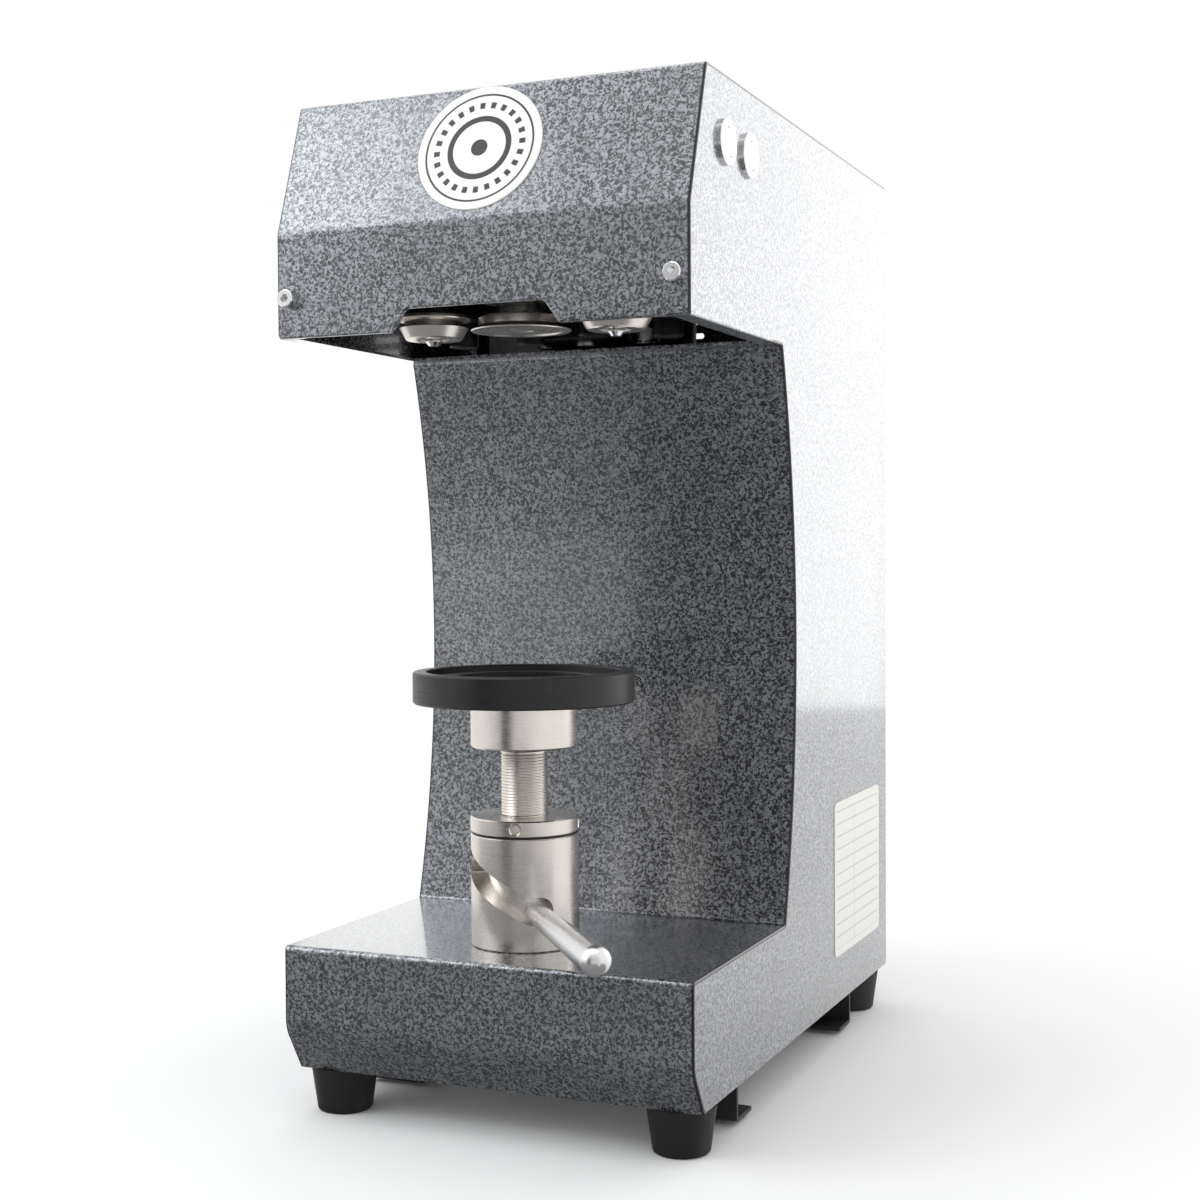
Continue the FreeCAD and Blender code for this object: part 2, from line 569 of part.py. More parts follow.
def make_lift_barrel():
    """Fixed outer barrel, with the helical slot that lifts the lever as it is swung."""
    barrel = cylinder(BARREL_R, BASE_TOP_Z, BARREL_TOP_Z)
    barrel = barrel.cut(cylinder(BARREL_BORE_R, BASE_TOP_Z + BARREL_FLOOR, BARREL_TOP_Z + 1))
    barrel = barrel.cut(cylinder(13.0, BASE_TOP_Z - 1, BARREL_TOP_Z))
    rims = [e for e in barrel.Edges if abs(e.BoundBox.XLength - 2 * BARREL_R) < 0.01 and e.BoundBox.ZLength < 1e-6]
    barrel = barrel.makeChamfer(0.6, rims)
    barrel = drilled(barrel, barrel_bolt_places(), BARREL_BOLT_R, BASE_TOP_Z - 1, BASE_TOP_Z + 6.0)
    for cutter in slot_cutter():
        barrel = barrel.cut(cutter)
    return barrel


def make_ring_washer():
    return tube(BARREL_R - 0.4, SPINDLE_R + 0.6, *RING_WASHER_Z)


def make_lift_cylinder():
    """Inner cylinder that rises in the barrel; it is threaded for the spindle and for the lever."""
    low, high = BASE_TOP_Z + BARREL_FLOOR + GAP, LIFT_CYLINDER_TOP_Z
    body = cylinder(BARREL_BORE_R - RUNNING, low, high)
    body = body.makeChamfer(0.8, [e for e in body.Edges if e.BoundBox.ZLength < 1e-6])
    body = body.cut(cylinder(SPINDLE_R + RUNNING, low - 1, high + 1))
    return body.cut(radial(3.0, SPINDLE_R + 1.5, BARREL_BORE_R + 2, LEVER_ANGLE, LEVER_Z))


def make_lever():
    """Turned lever: threaded stud, neck, shoulder and a taper that swells to a round end."""
    stud_from, neck_from, body_from = SPINDLE_R + 1.5, BARREL_BORE_R - RUNNING, BARREL_R + 1.2
    end = LEVER_REACH
    points = [Vector(0, 0, stud_from), Vector(3.0, 0, stud_from), Vector(3.0, 0, neck_from),
              Vector(4.5, 0, neck_from), Vector(4.5, 0, body_from), Vector(4.8, 0, body_from),
              Vector(5.2, 0, body_from + 0.5), Vector(LEVER_END_R, 0, end)]
    edges = [Part.LineSegment(a, b).toShape() for a, b in zip(points, points[1:])]
    half = LEVER_END_R * math.sqrt(0.5)
    edges.append(Part.Arc(points[-1], Vector(half, 0, end + half), Vector(0, 0, end + LEVER_END_R)).toShape())
    edges.append(Part.LineSegment(Vector(0, 0, end + LEVER_END_R), points[0]).toShape())
    lever = Part.Face(Part.Wire(edges)).revolve(Vector(), UP, 360)
    heading = (math.cos(math.radians(LEVER_ANGLE)), math.sin(math.radians(LEVER_ANGLE)), 0)
    return aimed(lever, (0, 0, LEVER_Z), heading)


LOCK_HOLE_ANGLE = -75.0
LOCK_HOLE_R = 2.4


def make_lock_ring():
    """Lock nut for the spindle's height, with four tommy-bar holes."""
    low, high = LOCK_RING_Z
    ring = cylinder(BARREL_R + 0.1, low, high)
    ring = ring.makeChamfer(0.6, [e for e in ring.Edges if e.BoundBox.ZLength < 1e-6])
    ring = ring.cut(cylinder(SPINDLE_R + RUNNING, low - 1, high + 1))
    middle = (low + high) / 2
    for k in range(4):
        angle = LOCK_HOLE_ANGLE + 90 * k
        ring = ring.cut(radial(LOCK_HOLE_R, BARREL_R - 8.0, BARREL_R + 2, angle, middle))
        sink = Part.makeCone(LOCK_HOLE_R, LOCK_HOLE_R + 0.8, 0.8)
        out = Vector(math.cos(math.radians(angle)), math.sin(math.radians(angle)), 0)
        ring = ring.cut(aimed(sink, out * (BARREL_R - 0.6) + Vector(0, 0, middle), out))
    return ring


JOURNAL_R = 7.5
TURNTABLE_BEARING_R = 17.5
TURNTABLE_BEARING_Z = (161.2, 172.2)


def make_threaded_spindle():
    """Threaded spindle with a plain neck and the journal for the turntable's bearing."""
    low, hub = SPINDLE_BOTTOM_Z, HUB_Z[0]
    seat, top = TURNTABLE_BEARING_Z
    return revolved([(0, low), (SPINDLE_R - 1.2, low), (SPINDLE_R, low + 1.2), (SPINDLE_R, hub - 2.6),
                     (SPINDLE_R - 0.8, hub - 1.8), (SPINDLE_R - 0.8, seat), (JOURNAL_R, seat),
                     (JOURNAL_R, top + 1.4), (JOURNAL_R - 0.8, top + 2.2), (0, top + 2.2)])


def bearing(inner, outer, z_low, z_high):
    """A ball bearing drawn as one ring with its shields set back."""
    land, depth = (outer - inner) * 0.28, 0.6
    return revolved([(inner, z_low), (inner + land, z_low), (inner + land, z_low + depth),
                     (outer - land, z_low + depth), (outer - land, z_low), (outer, z_low), (outer, z_high),
                     (outer - land, z_high), (outer - land, z_high - depth), (inner + land, z_high - depth),
                     (inner + land, z_high), (inner, z_high)])


def make_turntable_bearing():
    return bearing(JOURNAL_R, TURNTABLE_BEARING_R, *TURNTABLE_BEARING_Z)


PLATE_SCREW_CIRCLE = 21.5
PLATE_FLOOR_Z = 190.0
PLATE_STEP_Z = 193.0
CAN_RECESS_R = 33.6
RIM_INNER_R = 47.0


def make_turntable_hub():
    """Hub that sits on the bearing from above, with a circlip under the bearing."""
    low, high = HUB_Z
    pocket = TURNTABLE_BEARING_R + RUNNING
    ceiling = TURNTABLE_BEARING_Z[1] + RUNNING
    relief = ceiling + 3.0
    hub = revolved([(pocket, low), (HUB_R - 0.8, low), (HUB_R, low + 0.8), (HUB_R, high - 0.4),
                    (HUB_R - 0.4, high), (0, high), (0, relief), (JOURNAL_R + 2, relief),
                    (JOURNAL_R + 2, ceiling), (pocket, ceiling)])
    circlip = tube(pocket, pocket - 1.8, low + 0.8, low + 2.0)
    hub = union([hub, circlip])
    return drilled(hub, circle_places(PLATE_SCREW_CIRCLE, 3, start=90), 1.5, high - 8, high + 1)


def make_can_plate():
    """Turned plastic plate: a rim for wide cans and a deeper recess for standard ones."""
    low, high = PLATE_Z
    edge = 0.8
    plate = revolved([(0, low), (PLATE_R - edge, low), (PLATE_R, low + edge), (PLATE_R, high - edge),
                      (PLATE_R - edge, high), (RIM_INNER_R + 0.6, high), (RIM_INNER_R, high - 0.6),
                      (RIM_INNER_R, PLATE_STEP_Z), (CAN_RECESS_R + 0.5, PLATE_STEP_Z),
                      (CAN_RECESS_R, PLATE_STEP_Z - 0.5), (CAN_RECESS_R, PLATE_FLOOR_Z), (0, PLATE_FLOOR_Z)])
    places = circle_places(PLATE_SCREW_CIRCLE, 3, start=90)
    plate = drilled(plate, places, 1.5, low - 1, high + 1)
    for x, y in places:
        plate = plate.cut(Part.makeCone(1.5, 3.6, 2.1, Vector(x, y, PLATE_FLOOR_Z - 2.1)))
    return plate


def make_plate_screws():
    """Three countersunk screws that hold the can plate on its hub."""
    screws = []
    for x, y in circle_places(PLATE_SCREW_CIRCLE, 3, start=90):
        head = Part.makeCone(1.5, 3.6, 2.1, Vector(x, y, PLATE_FLOOR_Z - 2.1))
        shank = cylinder(1.5, HUB_Z[1] - 6.0, PLATE_FLOOR_Z - 2.1, x, y)
        socket = cylinder(1.2, PLATE_FLOOR_Z - 1.2, PLATE_FLOOR_Z + 1, x, y)
        screws.append(union([head, shank]).cut(socket))
    return Part.makeCompound(screws)


# ---------------------------------------------------------------- chuck drive
HOUSING_BOTTOM_Z = 375.0
HOUSING_TOP_Z = 424.0
HOUSING_FLANGE_Z = (404.0, 411.0)
SPINDLE_BEARING_R = 17.5
SPINDLE_BEARING_ZS = ((377.0, 387.0), (412.0, 422.0))
SHAFT_R = 8.5
NOSE_R = 12.2


def make_spindle_housing():
    bore = SPINDLE_BEARING_R
    low, high = HOUSING_BOTTOM_Z, HOUSING_TOP_Z
    lower_stop, upper_stop = SPINDLE_BEARING_ZS[0][1], SPINDLE_BEARING_ZS[1][0]
    flange_low, flange_high = HOUSING_FLANGE_Z
    housing = revolved([(bore, low), (HOUSING_R - 1, low), (HOUSING_R, low + 1), (HOUSING_R, flange_low),
                        (HOUSING_FLANGE_R, flange_low), (HOUSING_FLANGE_R, flange_high), (HOUSING_R, flange_high),
                        (HOUSING_R, high), (bore, high), (bore, upper_stop), (bore - 3, upper_stop),
                        (bore - 3, lower_stop), (bore, lower_stop)])
    return drilled(housing, circle_places(HOUSING_BOLT_CIRCLE, 4), 2.5, flange_low - 1, flange_high + 1)


def make_spindle_bearings():
    return Part.makeCompound([bearing(SHAFT_R + RUNNING, SPINDLE_BEARING_R, low, high)
                              for low, high in SPINDLE_BEARING_ZS])


def make_chuck():
    """Seaming chuck: a narrow lip that fits the can end, below a plain body."""
    low, high = CHUCK_Z, CHUCK_TOP_Z
    return revolved([(3.2, low + 3.0), (6.5, low + 3.0), (6.5, low + 0.5), (CHUCK_LIP_R - 4.5, low + 0.5),
                     (CHUCK_LIP_R - 4.0, low), (CHUCK_LIP_R - 0.4, low), (CHUCK_LIP_R, low + 0.5),
                     (CHUCK_BODY_R + 0.4, low + 2.2), (CHUCK_BODY_R, low + 2.8), (CHUCK_BODY_R, high - 0.6),
                     (CHUCK_BODY_R - 0.6, high), (3.2, high)])


def make_chuck_screw():
    low = CHUCK_Z + 0.6
    screw = revolved([(0, low), (5.6, low), (6.0, low + 0.4), (6.0, CHUCK_Z + 3.0), (3.2, CHUCK_Z + 3.0),
                      (3.2, CHUCK_TOP_Z + 12), (0, CHUCK_TOP_Z + 12)])
    return screw.cut(hexagonal_prism(2.6, low - 1, low + 1.6))


def make_chuck_spindle():
    low = CHUCK_TOP_Z
    shoulder = SPINDLE_BEARING_ZS[0][0] - 0.5
    return revolved([(3.2, low), (NOSE_R - 0.4, low), (NOSE_R, low + 0.4), (NOSE_R, shoulder), (SHAFT_R, shoulder),
                     (SHAFT_R, BELT_Z[1] + 6), (0, BELT_Z[1] + 6), (0, CHUCK_TOP_Z + 12), (3.2, CHUCK_TOP_Z + 12)])


def make_pulley(radius, bore, y, teeth):
    """A flanged timing pulley with rounded tooth gaps."""
    low, high = BELT_Z
    flange = 1.5
    body = cylinder(radius, low - 0.5, high + 0.5, 0, y)
    gaps = [cylinder(0.9, low - 0.5, high + 0.5, x, gap_y)
            for x, gap_y in circle_places(radius, teeth, 0, y, start=0)]
    body = body.cut(Part.makeCompound(gaps))
    rims = [cylinder(radius + 2.5, z, z + flange, 0, y) for z in (low - 0.5 - flange, high + 0.5)]
    return union([body] + rims).cut(cylinder(bore, low - 5, high + 5, 0, y))


def belt_loop(spindle_r, motor_r):
    """Outline of a belt that runs round both pulleys at the given radii."""
    plate = hull_plate([(0, 0, spindle_r), (0, MOTOR_Y, motor_r)], *BELT_Z)
    return plate


def make_drive_belt():
    gap, thickness = 0.4, 1.6
    outside = belt_loop(SPINDLE_PULLEY_R + gap + thickness, MOTOR_PULLEY_R + gap + thickness)
    return outside.cut(belt_loop(SPINDLE_PULLEY_R + gap, MOTOR_PULLEY_R + gap))


MOTOR_SHAFT_R = 4.0


def make_drive_motor():
    """Gearmotor that hangs under the head plate: gearbox, can and terminal boss."""
    top = HEAD_PLATE_Z[0]
    motor = union([cylinder(MOTOR_BODY_R, top - 38, top, 0, MOTOR_Y),
                   cylinder(MOTOR_BODY_R - 2, top - 104, top - 38, 0, MOTOR_Y),
                   cylinder(10.0, top - 110, top - 104, 0, MOTOR_Y),
                   cylinder(11.0, top, top + 5, 0, MOTOR_Y)])
    motor = motor.cut(cylinder(MOTOR_SHAFT_R + RUNNING, top - 14, top + 6, 0, MOTOR_Y))
    return drilled(motor, circle_places(MOTOR_BOLT_CIRCLE, 4, 0, MOTOR_Y), 2.0, top - 8, top + 6)


def make_motor_shaft():
    return cylinder(MOTOR_SHAFT_R, HEAD_PLATE_Z[0] - 13, BELT_Z[1] + 4, 0, MOTOR_Y)


# ---------------------------------------------------------------- seaming rollers and their arms
FOLLOWER_X = FOLLOWER_DISTANCE * math.cos(math.radians(FOLLOWER_HEADING))
FOLLOWER_Y = CAM_Y + FOLLOWER_DISTANCE * math.sin(math.radians(FOLLOWER_HEADING))
FOLLOWER_Z = (363.6, 369.6)
ROLLER_PIN_R = 5.0
FOLLOWER_PIN_R = 3.0


def make_roller_arm():
    """Right-hand arm: a plate from the roller past the pivot to the cam follower."""
    low, high = ARM_Z
    arm = hull_plate([(ROLLER_X, ROLLER_Y, 13.0), (PIVOT_X, PIVOT_Y, 15.0), (FOLLOWER_X, FOLLOWER_Y, 8.5)], low, high)
    arm = drilled(arm, [(PIVOT_X, PIVOT_Y)], PIVOT_R + RUNNING, low - 1, high + 1)
    arm = drilled(arm, [(ROLLER_X, ROLLER_Y)], ROLLER_PIN_R, low - 1, high + 1)
    return drilled(arm, [(FOLLOWER_X, FOLLOWER_Y)], FOLLOWER_PIN_R, low - 1, high + 1)


def make_arm_pins():
    """The roller's shoulder bolt with its nut, and the follower's pin."""
    low, high = ARM_Z
    x, y = ROLLER_X, ROLLER_Y
    bolt = revolved([(0, 355.8), (2.4, 355.8), (4.2, 357.8), (4.2, 360.0), (7.2, 360.0), (7.2, 361.2),
                     (ROLLER_PIN_R, 361.2), (ROLLER_PIN_R, high + 6.5), (0, high + 6.5)], x, y)
    bolt = bolt.cut(hexagonal_prism(1.7, 355.0, 357.4, x, y))
    nut = hexagonal_prism(9.0, high, high + 5.0, x, y).cut(cylinder(ROLLER_PIN_R, high - 1, high + 7, x, y))
    spacer = tube(8.0, ROLLER_PIN_R, ROLLER_Z[1] + 0.1, low, x, y)
    pin = union([cylinder(FOLLOWER_PIN_R, FOLLOWER_Z[0] - 1.6, high + 1.0, FOLLOWER_X, FOLLOWER_Y),
                 cylinder(5.2, FOLLOWER_Z[0] - 1.6, FOLLOWER_Z[0] - 0.2, FOLLOWER_X, FOLLOWER_Y)])
    collar = tube(5.0, FOLLOWER_PIN_R, FOLLOWER_Z[1] + 0.2, low, FOLLOWER_X, FOLLOWER_Y)
    return Part.makeCompound([bolt, nut, spacer, pin, collar])


def make_seaming_roller(groove_low, groove_high, groove_r):
    """Right-hand roller: tapered skirt, seaming groove and upper rim."""
    low, high = ROLLER_Z
    bore = ROLLER_PIN_R + RUNNING
    recess = 8.4
    return revolved([(bore, low + 2.7), (recess, low + 2.7), (recess, low), (13.6, low), (14.2, low + 0.6),
                     (17.1, groove_low - 0.4), (16.9, groove_low), (groove_r, groove_low + 0.4),
                     (groove_r, groove_high - 0.3), (18.0, groove_high), (18.4, groove_high + 0.6),
                     (18.4, high - 0.5), (17.9, high), (bore, high)], ROLLER_X, ROLLER_Y)


def make_follower():
    return tube(FOLLOWER_R, FOLLOWER_PIN_R + RUNNING, *FOLLOWER_Z, FOLLOWER_X, FOLLOWER_Y)


def make_arm_pivot():
    """Right-hand pivot shaft, shouldered under the head plate and screwed from above."""
    x, y = PIVOT_X, PIVOT_Y
    head_low, head_high = HEAD_PLATE_Z
    shaft = union([cylinder(PIVOT_R, 360.0, head_high + 8, x, y), cylinder(10.5, head_low - 1.5, head_low, x, y)])
    return shaft.makeChamfer(0.8, [e for e in shaft.Edges if abs(e.BoundBox.ZMax - 360.0) < 1e-6])


def make_pivot_collars():
    """Collar and washer under each arm, and the nut above the head plate, for both pivots."""
    pieces = []
    for side in (-1, 1):
        x, y = side * PIVOT_X, PIVOT_Y
        collar = tube(7.6, PIVOT_R, 360.0, 368.4, x, y)
        collar = collar.makeChamfer(0.6, [e for e in collar.Edges if e.BoundBox.XLength > 15
                                          and e.BoundBox.ZMax < 361])
        pieces.append(collar)
        pieces.append(tube(10.5, PIVOT_R, 368.4, ARM_Z[0] - GAP, x, y))
        top = HEAD_PLATE_Z[1]
        pieces.append(hexagonal_prism(10.5, top, top + 6.0, x, y).cut(cylinder(PIVOT_R, top - 1, top + 8, x, y)))
    return Part.makeCompound(pieces)


SPRING_WIRE_R = 0.8
SPRING_COIL_R = 12.6
SPRING_PITCH = 2.0
SPRING_LEG_Z = 396.0


def make_arm_springs():
    """Return springs: a coil round each pivot, with a leg that hooks into the head plate."""
    low = ARM_Z[1] + SPRING_WIRE_R + 0.1
    spine = Part.makeHelix(SPRING_PITCH, 3 * SPRING_PITCH, SPRING_COIL_R)
    section = Part.Wire(Part.makeCircle(SPRING_WIRE_R, Vector(SPRING_COIL_R, 0, 0), Vector(0, 1, 0)))
    coil = Part.Wire(spine).makePipeShell([section], True, True)
    coil.translate(Vector(PIVOT_X, PIVOT_Y, low))
    leg = cylinder(SPRING_WIRE_R, low + 3 * SPRING_PITCH, SPRING_LEG_Z, PIVOT_X + SPRING_COIL_R, PIVOT_Y)
    spring = coil.fuse(leg)
    return Part.makeCompound([spring, mirrored(spring)])


STOP_X, STOP_Y = 17.0, 47.0


def stop_places():
    return [(-STOP_X, STOP_Y), (STOP_X, STOP_Y)]


def make_stop_posts():
    """Eccentric stop posts that set how far each arm opens; one hangs lower than the other."""
    posts = []
    for (x, y), foot in zip(stop_places(), (359.2, 362.0)):
        post = union([cylinder(7.0, foot, HEAD_PLATE_Z[0], x, y), cylinder(4.0, HEAD_PLATE_Z[0], HEAD_PLATE_Z[1] + 3, x, y)])
        post = post.makeChamfer(0.8, [e for e in post.Edges if abs(e.BoundBox.ZMax - foot) < 1e-6])
        posts.append(post)
    return Part.makeCompound(posts)


def pitch_curve(steps):
    """Points of the cam's flank for the right-hand follower, in the cam's own frame."""
    reach_x, reach_y = FOLLOWER_X - PIVOT_X, FOLLOWER_Y - PIVOT_Y
    points = []
    for k in range(steps + 1):
        turn = math.radians(CAM_SWING * (2.0 * k / steps - 1.0) * 1.04)
        arm = -turn * ARM_SWING / CAM_SWING
        x = PIVOT_X + reach_x * math.cos(arm) - reach_y * math.sin(arm)
        y = PIVOT_Y + reach_x * math.sin(arm) + reach_y * math.cos(arm) - CAM_Y
        centre = Vector(x * math.cos(turn) + y * math.sin(turn), -x * math.sin(turn) + y * math.cos(turn), 0)
        points.append(centre)
    flank = []
    for k, centre in enumerate(points):
        ahead, behind = points[min(k + 1, steps)], points[max(k - 1, 0)]
        along = (ahead - behind).normalize()
        inward = Vector(along.y, -along.x, 0)
        if inward.dot(centre) > 0:
            inward = inward * -1
        flank.append(centre + inward * (FOLLOWER_R + 0.12))
    return flank


def make_cam():
    """Two-flank cam: one swing closes the right roller and opens the left one, the other does the reverse."""
    right = pitch_curve(24)
    left = [Vector(-p.x, p.y, 0) for p in reversed(right)]
    low_side, high_side = right[0], right[-1]
    edges = []
    for points in (right, left):
        curve = Part.BSplineCurve()
        curve.interpolate(points)
        edges.append(curve.toShape())
    edges.append(Part.LineSegment(low_side, Vector(-low_side.x, low_side.y, 0)).toShape())
    reach = high_side.Length
    edges.append(Part.Arc(high_side, Vector(0, -reach, 0), Vector(-high_side.x, high_side.y, 0)).toShape())
    face = Part.Face(Part.Wire(Part.__sortEdges__(edges)))
    cam = face.extrude(UP * (CAM_Z[1] - CAM_Z[0]))
    cam.translate(Vector(0, CAM_Y, CAM_Z[0]))
    return cam.cut(cylinder(CAM_SHAFT_R, CAM_Z[0] - 1, CAM_Z[1] + 1, 0, CAM_Y))


def make_cam_shaft():
    shaft = cylinder(CAM_SHAFT_R, 360.2, HEAD_PLATE_Z[1] + 14, 0, CAM_Y)
    return shaft.makeChamfer(0.8, [e for e in shaft.Edges if e.BoundBox.ZMax < 361])


def make_cam_gearmotor():
    """Worm gearmotor that lies on the head plate under the belt."""
    low = HEAD_PLATE_Z[1]
    gearbox = box((-17.0, 17.0), (CAM_Y - 20, CAM_Y + 24), (low, low + 20))
    gearbox = gearbox.makeFillet(3.0, [e for e in gearbox.Edges if e.BoundBox.ZLength > 15])
    motor = rod_x(9.5, 17.0, 58.0, CAM_Y + 2, low + 10)
    gearmotor = union([gearbox, motor])
    return gearmotor.cut(cylinder(CAM_SHAFT_R + RUNNING, low - 1, low + 15, 0, CAM_Y))


# ---------------------------------------------------------------- controls
def make_button_bodies():
    """Bezel, threaded body and panel nut of both push buttons."""
    bodies = []
    for y in BUTTON_Y:
        bezel = rod_x(BUTTON_R, HALF, HALF + BUTTON_PROUD, y, BUTTON_Z)
        bezel = bezel.makeChamfer(0.5, [e for e in bezel.Edges if abs(e.BoundBox.XMin - HALF - BUTTON_PROUD) < 1e-6])
        body = union([bezel, rod_x(8.0, HALF - 26, HALF, y, BUTTON_Z)])
        body = body.cut(rod_x(7.1, HALF - 4, HALF + 5, y, BUTTON_Z))
        nut = rod_x(11.0, HALF - SHEET - 3, HALF - SHEET, y, BUTTON_Z).cut(
            rod_x(8.0, HALF - 8, HALF + 1, y, BUTTON_Z))
        bodies += [body, nut]
    return Part.makeCompound(bodies)


def make_button_cap(y):
    cap = rod_x(6.9, HALF - 1.6, HALF + BUTTON_PROUD - 0.1, y, BUTTON_Z)
    return cap.makeChamfer(0.4, [e for e in cap.Edges if abs(e.BoundBox.XMin - HALF - BUTTON_PROUD + 0.1) < 1e-6])


BOARD_Y = (225.0, 226.6)
BOARD_X = (-60.0, 60.0)
BOARD_Z = (150.0, 250.0)


def board_corners():
    return [(x, z) for x in (BOARD_X[0] + 5, BOARD_X[1] - 5) for z in (BOARD_Z[0] + 5, BOARD_Z[1] - 5)]


def make_control_board():
    """Motor controller: printed board, heat sink, capacitor and terminal block."""
    board = box(BOARD_X, BOARD_Y, BOARD_Z)
    parts = [box((-50, -10), (BOARD_Y[0] - 16, BOARD_Y[0]), (205, 240)),
             rod_y(8.0, BOARD_Y[0] - 18, BOARD_Y[0], 20.0, 222.0),
             box((-40, 44), (BOARD_Y[0] - 12, BOARD_Y[0]), (156, 168))]
    board = union([board] + parts)
    holes = [rod_y(1.6, BOARD_Y[0] - 2, BOARD_Y[1] + 2, x, z) for x, z in board_corners()]
    return board.cut(Part.makeCompound(holes))


def make_board_bracket():
    """Cross bracket between the column plates, with four pillars for the board."""
    x_low, x_high = -COLUMN_X[0], COLUMN_X[0]
    sheet = box((x_low, x_high), (COLUMN_Y[1] - 2.0, COLUMN_Y[1]), (145.0, 255.0))
    pillars = [rod_y(3.5, COLUMN_Y[1], BOARD_Y[0], x, z) for x, z in board_corners()]
    return union([sheet] + pillars)


def make_power_socket():
    """Low-voltage panel socket with its nut and centre contact."""
    outer = CASE_REAR_Y
    socket = union([rod_y(8.0, outer, outer + 2.0, SOCKET_X, SOCKET_Z),
                    rod_y(6.0, outer - 16, outer, SOCKET_X, SOCKET_Z),
                    rod_y(9.0, outer - SHEET - 3.0, outer - SHEET, SOCKET_X, SOCKET_Z)])
    socket = socket.cut(rod_y(3.2, outer - 10, outer + 5, SOCKET_X, SOCKET_Z))
    return union([socket, rod_y(1.05, outer - 10.5, outer, SOCKET_X, SOCKET_Z)])


# ---------------------------------------------------------------- blank plates
BADGE_R = 32.0
BADGE_THICKNESS = 0.8
BADGE_HEIGHT_Z = 441.3
RATING_Y = (174.8, 270.2)
RATING_Z = (26.8, 113.0)
RATING_THICKNESS = 0.4


def make_front_badge():
    """Plain round plate on the sloping front of the head."""
    slope = Vector(0, HEAD_TOP_FRONT_Y - CASE_FRONT_Y, CASE_TOP_Z - HEAD_KINK_Z).normalize()
    normal = Vector(0, -slope.z, slope.y)
    share = (BADGE_HEIGHT_Z - HEAD_KINK_Z) / (CASE_TOP_Z - HEAD_KINK_Z)
    y = CASE_FRONT_Y + share * (HEAD_TOP_FRONT_Y - CASE_FRONT_Y)
    disc = cylinder(BADGE_R, 0, BADGE_THICKNESS)
    disc = disc.makeChamfer(0.25, [e for e in disc.Edges if e.BoundBox.ZMin > 0.5])
    return aimed(disc, (-2.0, y, BADGE_HEIGHT_Z), tuple(normal))


def make_rating_plate():
    plate = rounded_slab(RATING_Y[1] - RATING_Y[0], RATING_Z[1] - RATING_Z[0], 4.0, RATING_THICKNESS)
    plate.Placement = FreeCAD.Placement(Vector(HALF, sum(RATING_Y) / 2, sum(RATING_Z) / 2),
                                        FreeCAD.Rotation(Vector(0, 1, 0), Vector(0, 0, 1), Vector(1, 0, 0)))
    return plate


# ---------------------------------------------------------------- assembly
def all_parts():
    arm, pins, follower, pivot = make_roller_arm(), make_arm_pins(), make_follower(), make_arm_pivot()
    first_roller = make_seaming_roller(364.8, 368.2, 14.6)
    second_roller = make_seaming_roller(364.8, 368.0, 15.8)
    parts = {
        "front_skin": make_front_skin(),
        "head_cover": make_head_cover(),
        "side_panel_left": side_panel_left(),
        "side_panel_right": side_panel_right(),
        "rear_panel": make_rear_panel(),
        "rear_panel_screws": make_rear_screws(),
        "head_cover_screws": make_cover_screws(),
        "base_plate": make_base_plate(),
        "foot_screws": make_foot_screws(),
        "hook_brackets": make_hook_brackets(),
        "column_plate_right": make_column_plate(),
        "column_plate_left": mirrored(make_column_plate()),
        "head_plate": make_head_plate(),
        "frame_bolts": make_frame_bolts(),
        "lift_pedestal": make_pedestal(),
        "lift_barrel": make_lift_barrel(),
        "ring_washer": make_ring_washer(),
        "lift_cylinder": make_lift_cylinder(),
        "lever": make_lever(),
        "lock_ring": make_lock_ring(),
        "threaded_spindle": make_threaded_spindle(),
        "turntable_bearing": make_turntable_bearing(),
        "turntable_hub": make_turntable_hub(),
        "can_plate": make_can_plate(),
        "can_plate_screws": make_plate_screws(),
        "spindle_housing": make_spindle_housing(),
        "spindle_bearings": make_spindle_bearings(),
        "chuck": make_chuck(),
        "chuck_screw": make_chuck_screw(),
        "chuck_spindle": make_chuck_spindle(),
        "spindle_pulley": make_pulley(SPINDLE_PULLEY_R, SHAFT_R, 0, 48),
        "drive_belt": make_drive_belt(),
        "drive_motor": make_drive_motor(),
        "motor_shaft": make_motor_shaft(),
        "motor_pulley": make_pulley(MOTOR_PULLEY_R, MOTOR_SHAFT_R, MOTOR_Y, 24),
        "arm_pivot_right": pivot,
        "arm_pivot_left": mirrored(pivot),
        "pivot_collars": make_pivot_collars(),
        "arm_springs": make_arm_springs(),
        "stop_posts": make_stop_posts(),
        "roller_arm_right": arm,
        "roller_arm_left": mirrored(arm),
        "arm_pins_right": pins,
        "arm_pins_left": mirrored(pins),
        "seaming_roller_right": second_roller,
        "seaming_roller_left": mirrored(first_roller),
        "cam_follower_right": follower,
        "cam_follower_left": mirrored(follower),
        "cam": make_cam(),
        "cam_shaft": make_cam_shaft(),
        "cam_gearmotor": make_cam_gearmotor(),
        "button_bodies": make_button_bodies(),
        "start_button": make_button_cap(BUTTON_Y[0]),
        "stop_button": make_button_cap(BUTTON_Y[1]),
        "control_board": make_control_board(),
        "board_bracket": make_board_bracket(),
        "power_socket": make_power_socket(),
        "front_badge": make_front_badge(),
        "rating_plate": make_rating_plate(),
    }
    feet = [make_foot(x, y) for x, y in foot_places()]
    parts["feet"] = Part.makeCompound(feet)
    return parts


def place(shape):
    moved = shape.copy()
    moved.translate(Vector(0, -FRAME_Y, FOOT_HEIGHT))
    return moved


